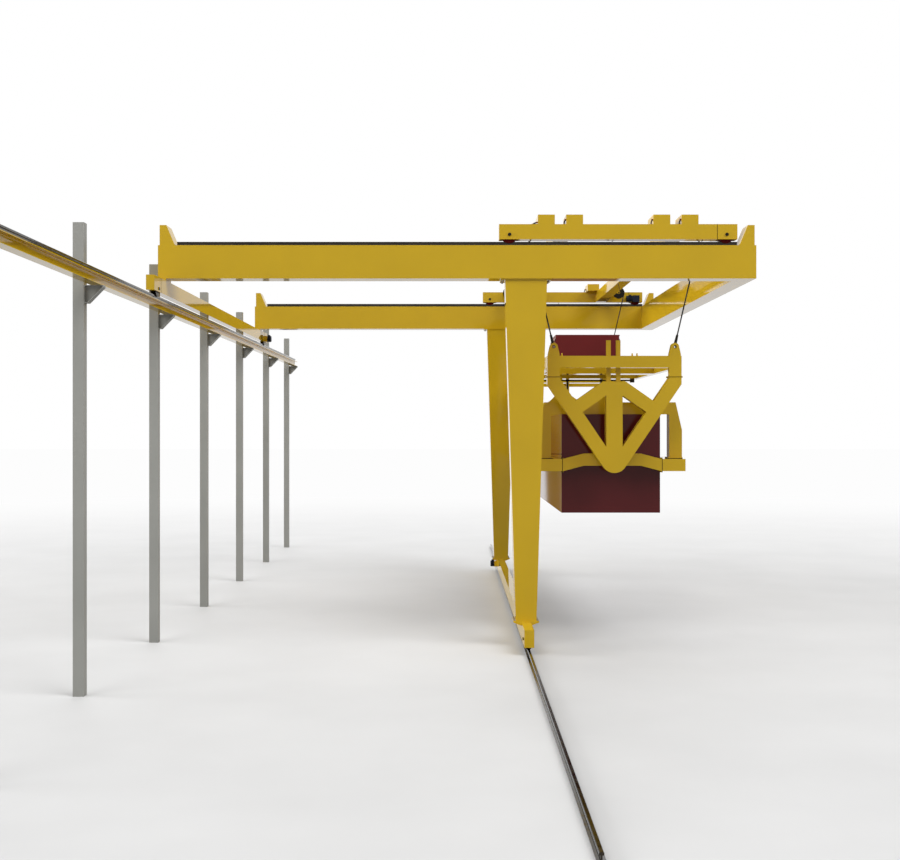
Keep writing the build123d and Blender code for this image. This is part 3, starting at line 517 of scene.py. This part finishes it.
class CRANE_OT_joint_lines(bpy.types.Operator):
    """Lays dark strips in the bolted joints, as painted shadow lines along them"""

    bl_idname = "crane.joint_lines"
    bl_label = "Seal the Joints"

    def execute(self, context):
        for end_name, _ in NEAR_FAR:
            for name, build, body in (
                ("yoke_seals", self.yoke_seals, "spreader"),
                ("crossbar_seals", self.crossbar_seals, "cradle"),
                ("frame_seal", self.frame_seal, "trolley"),
                ("carriage_seal", self.carriage_seal, "crane"),
            ):
                # Each piece is a strip of dark rubber that stands for the shadow along a joint: painted shade.
                new_piece(
                    f"{end_name}_{name}", lambda shape: build(shape, end_name), body, "rubber"
                )
        new_piece("arch_foot_shadow_lines", self.arch_seals, "cradle", "rubber")
        return {"FINISHED"}

    @staticmethod
    def belt(shape, low, high):
        """A dark strip all round a joint, a painted shadow line: a belt a little larger than the two flanges."""
        proud = Vector((JOINT_SHADOW_PROUD, JOINT_SHADOW_PROUD, JOINT_SHADOW_PROUD))
        block(shape, low - proud, high + proud)

    @staticmethod
    def seam(shape, low, high, axis, place):
        """A dark strip across a box beam at one place along it, on its two sides and its top: a painted shadow
        line.
        """
        buried = 10 * MM
        across = 1 - axis
        start, stop = low.copy(), high.copy()
        start[axis], stop[axis] = place - JOINT_SHADOW_HALF, place + JOINT_SHADOW_HALF
        for face, way in ((low[across], -1), (high[across], 1)):
            start[across], stop[across] = face + way * JOINT_SHADOW_PROUD, face - way * buried
            block(shape, start, stop)
        start[across], stop[across] = low[across] - JOINT_SHADOW_PROUD, high[across] + JOINT_SHADOW_PROUD
        start.z, stop.z = high.z - buried, high.z + JOINT_SHADOW_PROUD
        block(shape, start, stop)

    def yoke_seals(self, shape, end_name):
        """The painted shadow line between each stub of the lifting beam and the yoke's corner below it."""
        for side in (-1, 1):
            low, high = foot_box(f"{end_name}_lifting_beam", side)
            low.z, high.z = low.z - JOINT_SHADOW_HALF, low.z + JOINT_SHADOW_HALF
            self.belt(shape, low, high)

    def crossbar_seals(self, shape, end_name):
        """The painted shadow line between each end flange of a crossbar and the cradle's side beam."""
        bar = f"{end_name}_crossbar"
        bar_low, bar_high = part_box(bar)
        for face_x, way in ((bar_low.x, 1), (bar_high.x, -1)):
            low, high = node_box(bar, lambda point: abs(point.x - face_x) < MM)
            low.x, high.x = sorted((face_x, face_x + way * 2 * JOINT_SHADOW_HALF))
            self.belt(shape, low, high)

    def arch_seals(self, shape):
        """The painted shadow line under each foot of the arches, on the side beams."""
        thickness = 9 * MM
        for arch_name in ("near", "middle", "far"):
            for side in (-1, 1):
                low, high = foot_box(f"{arch_name}_cradle_arch", side)
                high.z = low.z + thickness
                self.belt(shape, low, high)

    def frame_seal(self, shape, end_name):
        """The painted shadow line in the trolley's side frame where its right wheel end is bolted on."""
        wheel_end = 475 * MM
        low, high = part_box(f"trolley_{end_name}_frame")
        self.seam(shape, low, high, 0, high.x - wheel_end)

    def carriage_seal(self, shape, end_name):
        """The painted shadow line in the runway carriage where its wheel end is bolted on."""
        behind_axle = 210 * MM
        end = dict(NEAR_FAR)[end_name]
        end_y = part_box("runway_carriage")[0 if end < 0 else 1].y
        low, high = node_box("runway_carriage", lambda point: abs(point.y - end_y) < MM)
        axle_y = axle_place(f"runway_wheel_{end_name}").y
        self.seam(shape, low, high, 1, axle_y - end * behind_axle)


# The angle under each side of the cabinet, which its holding-down bolts go through
FOOT_ANGLE_THICKNESS = 10 * MM


class CRANE_OT_fastenings(bpy.types.Operator):
    """Bolts the legs, gearboxes, rope lugs and cabinet down"""

    bl_idname = "crane.fastenings"
    bl_label = "Fit the Bolts"

    def execute(self, context):
        for name, build, body in (
            ("leg_bolts", self.leg_bolts, "crane"),
            ("gearbox_bolts", self.gearbox_bolts, "crane"),
            ("lug_keepers", self.lug_keepers, "spreader"),
            ("cabinet_bolts", self.cabinet_bolts, "spreader"),
        ):
            new_piece(name, build, body, "zinc")
        return {"FINISHED"}

    def leg_bolts(self, shape):
        """Bolts through the overhangs of each leg's base plate and top plate."""
        across_flats = 36 * MM
        edge = 60 * MM
        bolts_per_side = 4
        for end_name, end in NEAR_FAR:
            leg = f"{end_name}_leg"
            leg_low, leg_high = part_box(leg)
            foot_low, foot_high = node_box(leg, lambda point: point.z < leg_low.z + MM)
            plate_low, plate_high = node_box("leg_flanges", lambda p: is_low(p) and at_end(p, end))
            cap_low, cap_high = node_box("leg_flanges", lambda p: is_high(p) and at_end(p, end))
            for y in spread(foot_low.y + edge, foot_high.y - edge, bolts_per_side):
                for x in ((plate_low.x + foot_low.x) / 2, (plate_high.x + foot_high.x) / 2):
                    bolt(shape, Vector((x, y, plate_high.z)), UP, across_flats)
                for x in ((cap_low.x + leg_low.x) / 2, (cap_high.x + leg_high.x) / 2):
                    bolt(shape, Vector((x, y, cap_low.z)), DOWN, across_flats)

    def gearbox_bolts(self, shape):
        """Six bolts round the outer face of each travel gearbox on the end carriages."""
        across_flats = 18 * MM
        edge = 20 * MM
        for chosen, side in ((is_low, -1), (is_high, 1)):
            low, high = node_box("crane_gearboxes", chosen)
            face_x = low.x if side < 0 else high.x
            for y in (low.y + edge, high.y - edge):
                for z in spread(low.z + edge, high.z - edge, 3):
                    bolt(shape, Vector((face_x, y, z)), (side, 0, 0), across_flats)

    def lug_keepers(self, shape):
        """A plate and two bolts below each lug's pin, on the inner cheek, which keep the pin in."""
        across_flats = 24 * MM
        bolt_reach = 50 * MM
        plate_thickness = 10 * MM
        below_top = 250 * MM
        half = Vector((75 * MM, 0, 22 * MM))
        sockets = node_points("rope_sockets")
        for end_name, end in NEAR_FAR:
            beam_low, beam_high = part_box(f"{end_name}_lifting_beam")
            inner_y = beam_high.y if end < 0 else beam_low.y
            out = Vector((0, -end * plate_thickness, 0))
            for side in (-1, 1):
                socket = [point for point in sockets if at_end(point, end) and on_side(point, side)]
                foot_z = min(point.z for point in socket)
                foot_xs = [point.x for point in socket if point.z < foot_z + 2 * MM]
                centre = Vector((sum(foot_xs) / len(foot_xs), inner_y, beam_high.z - below_top))
                block(shape, centre - half, centre + half + out)
                for step in (-1, 1):
                    place = centre + out + Vector((step * bolt_reach, 0, 0))
                    bolt(shape, place, (0, -end, 0), across_flats)

    def cabinet_bolts(self, shape):
        """Holding-down bolts on the angles at the cabinet's foot."""
        across_flats = 24 * MM
        out = 35 * MM
        edge = 120 * MM
        bolts_per_side = 5
        low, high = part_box("power_unit")
        for x in (low.x - out, high.x + out):
            for y in spread(low.y + edge, high.y - edge, bolts_per_side):
                bolt(shape, Vector((x, y, low.z + FOOT_ANGLE_THICKNESS)), UP, across_flats)


class CRANE_OT_bearings(bpy.types.Operator):
    """Caps the axle ends of the trolley's wheels"""

    bl_idname = "crane.bearings"
    bl_label = "Cap the Bearings"

    def execute(self, context):
        for end_name, end in NEAR_FAR:
            for side_name, side in LEFT_RIGHT:
                wheel = f"trolley_wheel_{end_name}_{side_name}"
                # The right wheels have their drive on the inner end of the axle.
                ways = (end, -end) if side < 0 else (end,)
                build = lambda shape: self.nuts(shape, wheel, end_name, ways)
                new_piece(f"{wheel}_nuts", build, wheel, "dark_steel", radians(35))
        return {"FINISHED"}

    @staticmethod
    def nuts(shape, wheel, end_name, ways):
        """A dark dished cap on each free end of a trolley wheel's axle, clear of the frame."""
        profile = in_mm(((1, 39), (20, 39), (24, 33), (24, 20), (20, 16)))
        axle = axle_place(wheel)
        low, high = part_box(f"trolley_{end_name}_frame")
        for way in ways:
            face_y = low.y if way < 0 else high.y
            turned(shape, Vector((axle.x, face_y, axle.z)), (0, way, 0), profile, 32)


class CRANE_OT_drives(bpy.types.Operator):
    """Gives the travel motors their fins, fan cowls and terminal boxes"""

    bl_idname = "crane.drives"
    bl_label = "Dress the Drives"

    def execute(self, context):
        for name, build, body in (
            ("crane_motor_fins", self.crane_motor_fins, "crane"),
            ("trolley_motor_fins", self.trolley_motor_fins, "trolley"),
        ):
            new_piece(name, build, body, "machine_paint", radians(30))
        return {"FINISHED"}

    @staticmethod
    def fins(shape, low, high, way):
        """Fins along a motor, a fan cowl at its free end and a terminal box on its upper side."""
        fin_count = 28
        fin_half = 2.5 * MM
        fin_height = 9 * MM
        fin_root = 2 * MM
        fin_start_share = 0.12
        fin_length_share = 0.58
        # Shares of the motor's length and of its radius
        cowl = ((0.72, 1.02), (0.72, 1.11), (0.98, 1.11), (1.05, 0.98), (1.05, 0.5), (1.03, 0.2))
        box_share = 0.4
        box_rise = 22 * MM
        box_half = Vector((45 * MM, 45 * MM, 26 * MM))

        length = high.x - low.x
        radius = (high.z - low.z) / 2
        along = Vector((way, 0, 0))
        root = (low + high) / 2 - along * length / 2
        inner = radius - fin_root
        outer = radius + fin_height
        corners = ((inner, -fin_half), (inner, fin_half), (outer, fin_half), (outer, -fin_half))
        start = length * fin_start_share
        for index in range(fin_count):
            angle = 2 * pi * index / fin_count
            outline = [
                (reach * cos(angle) - half * sin(angle), reach * sin(angle) + half * cos(angle))
                for reach, half in corners
            ]
            prism(shape, root, along, outline, length * fin_length_share, start)
        profile = [(length * reach, radius * share) for reach, share in cowl]
        turned(shape, root, along, profile, 40)
        box_middle = root + along * length * box_share + Vector((0, 0, radius + box_rise))
        block(shape, box_middle - box_half, box_middle + box_half)

    def crane_motor_fins(self, shape):
        """The motors on the two end carriages."""
        self.fins(shape, *node_box("crane_motors", is_low), -1)
        self.fins(shape, *node_box("crane_motors", is_high), 1)

    def trolley_motor_fins(self, shape):
        """The motors inside the trolley's side frames."""
        for end in (-1, 1):
            low, high = node_box("trolley_motors", lambda point: at_end(point, end))
            self.fins(shape, low, high, -1)


class CRANE_OT_ropes(bpy.types.Operator):
    """Lays up the hoist ropes from strands"""

    bl_idname = "crane.ropes"
    bl_label = "Lay Up the Ropes"

    def execute(self, context):
        piece = new_piece("hoist_rope_strands", self.strands, None, "rope_steel", radians(50))
        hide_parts("hoist_ropes")
        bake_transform(piece)
        return {"FINISHED"}

    @staticmethod
    def rope_ends():
        """The middle of the top and of the bottom of each of the four ropes, and its radius."""
        ring_depth = 20 * MM
        low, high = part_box("hoist_ropes")
        points = node_points("hoist_ropes")
        for end in (-1, 1):
            for side in (-1, 1):
                rope = [point for point in points if at_end(point, end) and on_side(point, side)]
                ends = []
                for edge_z in (high.z, low.z):
                    ring = [point for point in rope if abs(point.z - edge_z) < ring_depth]
                    ends.append(sum(ring, Vector()) / len(ring))
                width = max(point.y for point in rope) - min(point.y for point in rope)
                yield ends[0], ends[1], width / 2

    def strands(self, shape):
        """Six round strands wound about each rope's line."""
        lay = 250 * MM
        steps_per_turn = 12
        strand_count = 6
        strand_sides = 6
        for top, bottom, radius in self.rope_ends():
            strand_radius = radius / 3
            turn = facing(bottom - top)
            length = (bottom - top).length
            steps = round(length / lay * steps_per_turn)
            for strand in range(strand_count):
                path = []
                for step in range(steps + 1):
                    angle = 2 * pi * (step / steps_per_turn + strand / strand_count)
                    offset = Vector((cos(angle), sin(angle), 0)) * 2 * strand_radius
                    path.append(top + turn @ (offset + Vector((0, 0, length * step / steps))))
                tube(shape, path, strand_radius, strand_sides)


class CRANE_OT_conduits(bpy.types.Operator):
    """Fits the stiff conduits at the hoist housings, and the feelers below the side frames"""

    bl_idname = "crane.conduits"
    bl_label = "Fit the Conduits"

    def execute(self, context):
        for name, build, finish_name in (
            ("hoist_conduits", self.conduits, "rubber"),
            ("hoist_conduit_unions", self.unions, "fitting_red"),
            ("rail_feelers", self.feelers, "rubber"),
        ):
            new_piece(name, build, "trolley", finish_name, radians(40))
        return {"FINISHED"}

    @staticmethod
    def runs():
        """Each conduit: its foot on the side frame, its tip on a housing's left side, its bow."""
        housing_length = 400 * MM
        slack = 2 * MM
        setback = 90 * MM
        # The first housing from the left has a low, wide conduit, and the others a steep one.
        foot_gaps = (125 * MM, 36 * MM)
        rises = (54 * MM, 120 * MM)
        bows = (Vector((-8 * MM, 0, 12 * MM)), Vector((-18 * MM, 0, 6 * MM)))

        foot_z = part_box("trolley_near_frame")[1].z
        points = [point for point in node_points("hoist_boxes") if point.z > foot_z + slack]
        for end in (-1, 1):
            housings = [point for point in points if at_end(point, end)]
            ys = [point.y for point in housings]
            y = min(ys) + setback if end < 0 else max(ys) - setback
            edges = sorted({round(point.x, 3) for point in housings})
            lefts = [
                edge
                for edge in edges
                if any(abs(edge + housing_length - other) < slack for other in edges)
            ]
            for index, left in enumerate(lefts):
                kind = min(index, 1)
                foot = Vector((left - foot_gaps[kind], y, foot_z))
                yield foot, Vector((left, y, foot_z + rises[kind])), bows[kind]

    def conduits(self, shape):
        """A stiff sheathed pipe for each housing, which its wires run in."""
        radius = 15 * MM
        for foot, tip, bow in self.runs():
            path = [
                foot.lerp(tip, share) + bow * 4 * share * (1 - share)
                for share in spread(0.0, 1.0, 13)
            ]
            tube(shape, path, radius, 12)

    def unions(self, shape):
        """A hexagon union at each end of a conduit."""
        outline = ring_points(20 * MM, HEXAGON)
        tip_length = 34 * MM
        foot_length = 22 * MM
        for foot, tip, _ in self.runs():
            prism(shape, tip, (-1, 0, 0), outline, tip_length)
            prism(shape, foot, UP, outline, foot_length)

    def feelers(self, shape):
        """Three small hooked feelers below each side frame, over the girder."""
        places = (753 * MM, 2700 * MM, 4820 * MM)
        radius = 8 * MM
        inset = 30 * MM
        root_rise = 4 * MM
        knee_drop = 30 * MM
        tip_drop = 50 * MM
        hook = 24 * MM
        for end_name, end in NEAR_FAR:
            low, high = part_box(f"trolley_{end_name}_frame")
            y = low.y + inset if end < 0 else high.y - inset
            for x in [low.x + place for place in places]:
                root = Vector((x, y, low.z + root_rise))
                knee = Vector((x, y, low.z - knee_drop))
                tip = Vector((x - hook, y, low.z - tip_drop))
                tube(shape, [root, knee, tip], radius, 8)


class CRANE_OT_container_doors(bpy.types.Operator):
    """Hangs the doors on the container's far end, with their lock rods"""

    bl_idname = "crane.container_doors"
    bl_label = "Hang the Container's Doors"

    def execute(self, context):
        for name, build, finish_name, smooth_below in (
            ("container_door_seals", self.seals, "rubber", None),
            ("container_lock_rods", self.rods, "zinc", radians(35)),
            ("container_rod_guides", self.guides, "dark_steel", None),
            ("container_hinges", self.hinges, "container_paint", None),
        ):
            new_piece(name, build, "cradle", finish_name, smooth_below)
        return {"FINISHED"}

    @staticmethod
    def rod_places():
        """Each lock rod's place across the container, its way from the middle, and if inner."""
        inner_reach = 330 * MM
        outer_reach = 900 * MM
        low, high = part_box("container")
        middle_x = (low.x + high.x) / 2
        for way in (-1, 1):
            yield middle_x + way * inner_reach, way, True
            yield middle_x + way * outer_reach, way, False

    def seals(self, shape):
        """The gaskets round the two leaves and between them."""
        margin = 90 * MM
        half_width = 14 * MM
        proud = 5 * MM
        low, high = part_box("container")
        start, stop = low + Vector((margin, 0, margin)), high - Vector((margin, 0, margin))
        face_y = high.y + proud
        for x in (start.x, (low.x + high.x) / 2, stop.x):
            block(shape, (x - half_width, high.y, start.z), (x + half_width, face_y, stop.z))
        for z in (start.z, stop.z):
            block(shape, (start.x, high.y, z - half_width), (stop.x, face_y, z + half_width))

    def rods(self, shape):
        """Four lock rods from sill to header, the inner two with a long handle."""
        radius = 14 * MM
        reach = 18 * MM
        end_gap = 60 * MM
        handle_radius = 9 * MM
        handle_length = 420 * MM
        handle_height = 1050 * MM
        low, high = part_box("container")
        y = high.y + reach
        for x, way, is_inner in self.rod_places():
            rod = [Vector((x, y, low.z + end_gap)), Vector((x, y, high.z - end_gap))]
            tube(shape, rod, radius, 16)
            if is_inner:
                start = Vector((x, y, low.z + handle_height))
                handle = [start, start + Vector((way * handle_length, 0, 0))]
                tube(shape, handle, handle_radius, 12)

    def guides(self, shape):
        """Cams at both ends of each rod, and the guides that hold it to the leaf."""
        half = Vector((45 * MM, 0, 28 * MM))
        out = Vector((0, 34 * MM, 0))
        insets = (70 * MM, 480 * MM)
        low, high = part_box("container")
        zs = [(low.z + high.z) / 2]
        for inset in insets:
            zs += [low.z + inset, high.z - inset]
        for x, _, _ in self.rod_places():
            for z in zs:
                place = Vector((x, high.y, z))
                block(shape, place - half, place + half + out)

    def hinges(self, shape):
        """Four hinge straps on each side."""
        length = 150 * MM
        half_height = 38 * MM
        thickness = 16 * MM
        inset = 20 * MM
        margin = 260 * MM
        low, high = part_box("container")
        face_y = high.y + thickness
        for x, way in ((low.x + inset, 1), (high.x - inset, -1)):
            end_x = x + way * length
            for z in spread(low.z + margin, high.z - margin, 4):
                block(shape, (x, high.y, z - half_height), (end_x, face_y, z + half_height))


# How far the cabinet's door leaves stand out
LEAF_THICKNESS = 12 * MM


class CRANE_OT_cabinet(bpy.types.Operator):
    """Gives the power unit its roof rim, doors, louvres and foot angles"""

    bl_idname = "crane.cabinet"
    bl_label = "Fit Out the Cabinet"

    def execute(self, context):
        for name, build, finish_name, smooth_below in (
            ("cabinet_roof_rim", self.roof_rim, "cabinet_paint", None),
            ("cabinet_doors", self.doors, "cabinet_paint", None),
            ("cabinet_door_gear", self.door_gear, "dark_steel", radians(35)),
            ("cabinet_foot_angles", self.foot_angles, "crane_paint", None),
        ):
            new_piece(name, build, "spreader", finish_name, smooth_below)
        return {"FINISHED"}

    @staticmethod
    def leaves():
        """The two door leaves on each of the cabinet's left and right sides, as corners."""
        gap = 6 * MM
        margin = 60 * MM
        low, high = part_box("power_unit")
        middle_y = (low.y + high.y) / 2
        reach = (high.y - low.y) / 2 - margin
        for side, face_x in ((-1, low.x), (1, high.x)):
            for way in (-1, 1):
                ys = sorted((middle_y + way * gap / 2, middle_y + way * reach))
                leaf_low = Vector((face_x, ys[0], low.z + margin))
                leaf_high = Vector((face_x, ys[1], high.z - margin))
                yield side, way, leaf_low, leaf_high

    def roof_rim(self, shape):
        """A folded rim along the roof's two sides, which throws rain clear of the doors."""
        rim = 14 * MM
        drop = 40 * MM
        low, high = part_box("power_unit")
        for face_x, side in ((low.x, -1), (high.x, 1)):
            block(shape, (face_x, low.y, high.z - drop), (face_x + side * rim, high.y, high.z))

    def doors(self, shape):
        """Door leaves with louvres pressed out of them."""
        louvre_count = 7
        louvre_out = 18 * MM
        louvre_height = 26 * MM
        louvre_margin = 120 * MM
        lowest = 330 * MM
        highest = 90 * MM
        for side, _, low, high in self.leaves():
            face = low.x + side * LEAF_THICKNESS
            block(shape, low, (face, high.y, high.z))
            for z in spread(high.z - lowest, high.z - highest, louvre_count):
                corners = ((face, z), (face + side * louvre_out, z), (face, z + louvre_height))
                rings = [
                    [shape.verts.new((x, y, height)) for x, height in corners]
                    for y in (low.y + louvre_margin, high.y - louvre_margin)
                ]
                skin(shape, rings)

    def door_gear(self, shape):
        """Three hinges and a turn handle on each leaf."""
        hinge = in_mm(((0, 7), (2, 9), (78, 9), (80, 7)))
        hinge_length = 80 * MM
        hinge_out = 6 * MM
        hinge_inset = 10 * MM
        hinge_margin = 90 * MM
        handle_radius = 7 * MM
        handle_inset = 50 * MM
        handle_drop = 60 * MM
        handle_out = 28 * MM
        handle_length = 140 * MM
        for side, way, low, high in self.leaves():
            face = low.x + side * LEAF_THICKNESS
            hinge_y = high.y - hinge_inset if way > 0 else low.y + hinge_inset
            for z in spread(low.z + hinge_margin, high.z - hinge_margin, 3):
                foot = Vector((face + side * hinge_out, hinge_y, z - hinge_length / 2))
                turned(shape, foot, UP, hinge, 16)
            handle_y = low.y + handle_inset if way > 0 else high.y - handle_inset
            root = Vector((face, handle_y, (low.z + high.z) / 2 - handle_drop))
            out = Vector((side * handle_out, 0, 0))
            up = Vector((0, 0, handle_length))
            tube(shape, [root, root + out, root + out + up, root + up], handle_radius, 10)

    def foot_angles(self, shape):
        """Angles along the cabinet's two sides, which stand on the spreader's middle member."""
        width = 70 * MM
        inset = 60 * MM
        low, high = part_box("power_unit")
        top_z = low.z + FOOT_ANGLE_THICKNESS
        for side, face_x in ((-1, low.x), (1, high.x)):
            start_x = face_x + side * LEAF_THICKNESS
            end_x = start_x + side * width
            block(shape, (start_x, low.y + inset, low.z), (end_x, high.y - inset, top_z))


# Each light: its name, its tilt from straight down and its turn in degrees, and its strength
LIGHTS = (
    ("front right", 42, 55, 2.25),
    ("front left", 48, -40, 1.05),
    ("back", 50, 180, 0.8),
    ("left", 82, -90, 4.2),
)


class CRANE_OT_stage(bpy.types.Operator):
    """Makes the pale floor, the soft lights and the camera"""

    bl_idname = "crane.stage"
    bl_label = "Set the Stage"

    def execute(self, context):
        settings = context.scene.crane_stage
        self.make_floor(settings)
        self.make_world(context)
        self.make_lights()
        self.make_camera(context, settings)
        context.scene.view_settings.view_transform = "Standard"
        return {"FINISHED"}

    @staticmethod
    def make_camera(context, settings):
        """A level camera in front of the crane, which looks along the rails."""
        camera = bpy.data.cameras.new("camera")
        camera.lens = settings.camera_lens
        camera.sensor_width = 36
        camera.clip_end = 1000
        view = bpy.data.objects.new("camera", camera)
        view.location = (settings.camera_right, -settings.camera_back, settings.camera_height)
        view.rotation_euler = (pi / 2, 0, 0)
        context.scene.collection.objects.link(view)
        context.scene.camera = view

    @staticmethod
    def make_floor(settings):
        """A pale floor that fades to the white of the hall with distance."""
        clouds_mm = 3000
        fade_start = 18.0
        half = settings.floor_size / 2
        corners = [(-half, -half, 0), (half, -half, 0), (half, half, 0), (-half, half, 0)]
        mesh = bpy.data.meshes.new("floor")
        mesh.from_pydata(corners, [], [(0, 1, 2, 3)])
        floor = bpy.data.objects.new("floor", mesh)
        bpy.context.scene.collection.objects.link(floor)
        material, tree, output, place = start_material("pale hall floor")
        distance = add(tree, "ShaderNodeVectorMath", {0: place}, operation="LENGTH")
        inputs = {"Value": distance.outputs["Value"], "From Min": fade_start}
        inputs["From Max"] = settings.floor_white
        fade = add(tree, "ShaderNodeMapRange", inputs, interpolation_type="SMOOTHSTEP")
        # Sealed concrete, nearly white: a broad soft sheen and faint clouding.
        shade = tones(tree, patches(tree, place, clouds_mm, 0.0, 1.0), "#C7C7C7", "#C2C2C2")
        # The light that the floor throws back on the crane is that of a darker hall floor.
        rays = add(tree, "ShaderNodeLightPath")
        seen = blended(tree, rays.outputs["Is Diffuse Ray"], shade, linear("#828282"))
        inputs = {"Base Color": seen, "Roughness": 0.6, "Specular IOR Level": 0.2}
        concrete = add(tree, "ShaderNodeBsdfPrincipled", inputs).outputs["BSDF"]
        inputs = {"Color": linear("#FDFDFD"), "Strength": 1.0}
        white = add(tree, "ShaderNodeEmission", inputs).outputs["Emission"]
        inputs = {0: fade.outputs["Result"], 1: concrete, 2: white}
        surface = add(tree, "ShaderNodeMixShader", inputs)
        tree.links.new(surface.outputs["Shader"], output.inputs["Surface"])
        mesh.materials.append(material)

    @staticmethod
    def make_world(context):
        """An even sky that shows white and lights the crane softly."""
        world = bpy.data.worlds.new("white hall")
        context.scene.world = world
        world.use_nodes = True
        tree = world.node_tree
        tree.nodes.clear()
        # It is white where the camera, a gloss or a clear pane shows it, and dimmer as a light.
        rays = add(tree, "ShaderNodeLightPath")
        seen = rays.outputs["Is Camera Ray"]
        for kind in ("Is Glossy Ray", "Is Transmission Ray"):
            inputs = {0: seen, 1: rays.outputs[kind]}
            seen = add(tree, "ShaderNodeMath", inputs, operation="MAXIMUM").outputs["Value"]
        strength = add(tree, "ShaderNodeMapRange", {"Value": seen, "To Min": 0.32, "To Max": 1.0})
        inputs = {"Color": (1, 1, 1, 1), "Strength": strength.outputs["Result"]}
        background = add(tree, "ShaderNodeBackground", inputs)
        output = add(tree, "ShaderNodeOutputWorld")
        tree.links.new(background.outputs["Background"], output.inputs["Surface"])

    @staticmethod
    def make_lights():
        """Soft lights from both sides of the camera, from the left and from the back."""
        spread_angle = radians(40)
        for name, tilt, turn, strength in LIGHTS:
            lamp = bpy.data.lights.new(name, "SUN")
            lamp.energy = strength
            lamp.angle = spread_angle
            lamp_object = bpy.data.objects.new(name, lamp)
            lamp_object.rotation_euler = (radians(tilt), 0, radians(turn))
            # A lamp is a broad patch of the hall: it shows in shading, not as a glare in gloss.
            lamp_object.visible_glossy = False
            bpy.context.scene.collection.objects.link(lamp_object)


class CRANE_PT_panel(bpy.types.Panel):
    """The crane's settings and steps, in the 3D view's sidebar"""

    bl_idname = "CRANE_PT_panel"
    bl_label = "Gantry Crane"
    bl_space_type = "VIEW_3D"
    bl_region_type = "UI"
    bl_category = "Crane"

    def draw(self, context):
        layout = self.layout
        for group in (context.scene.crane_colours, context.scene.crane_stage):
            for name in group.__annotations__:
                layout.prop(group, name)
        for step in STEPS:
            layout.operator(step.bl_idname)


# The steps in the order in which they run
STEPS = (
    CRANE_OT_finishes,
    CRANE_OT_joint_lines,
    CRANE_OT_fastenings,
    CRANE_OT_bearings,
    CRANE_OT_drives,
    CRANE_OT_ropes,
    CRANE_OT_conduits,
    CRANE_OT_container_doors,
    CRANE_OT_cabinet,
    CRANE_OT_stage,
)
GROUPS = (("crane_colours", CraneColours), ("crane_stage", StageSettings))
CLASSES = (CraneColours, StageSettings, *STEPS, CRANE_PT_panel)


def register():
    """Registers the classes and hangs their settings on the scene."""
    for item in CLASSES:
        bpy.utils.register_class(item)
    for name, group in GROUPS:
        setattr(bpy.types.Scene, name, bpy.props.PointerProperty(type=group))


def unregister():
    """Takes the settings and the classes away again."""
    for name, _ in GROUPS:
        delattr(bpy.types.Scene, name)
    for item in reversed(CLASSES):
        bpy.utils.unregister_class(item)


def main():
    register()
    for step in STEPS:
        getattr(bpy.ops.crane, step.__name__.removeprefix("CRANE_OT_"))()


if __name__ == "__main__":
    main()
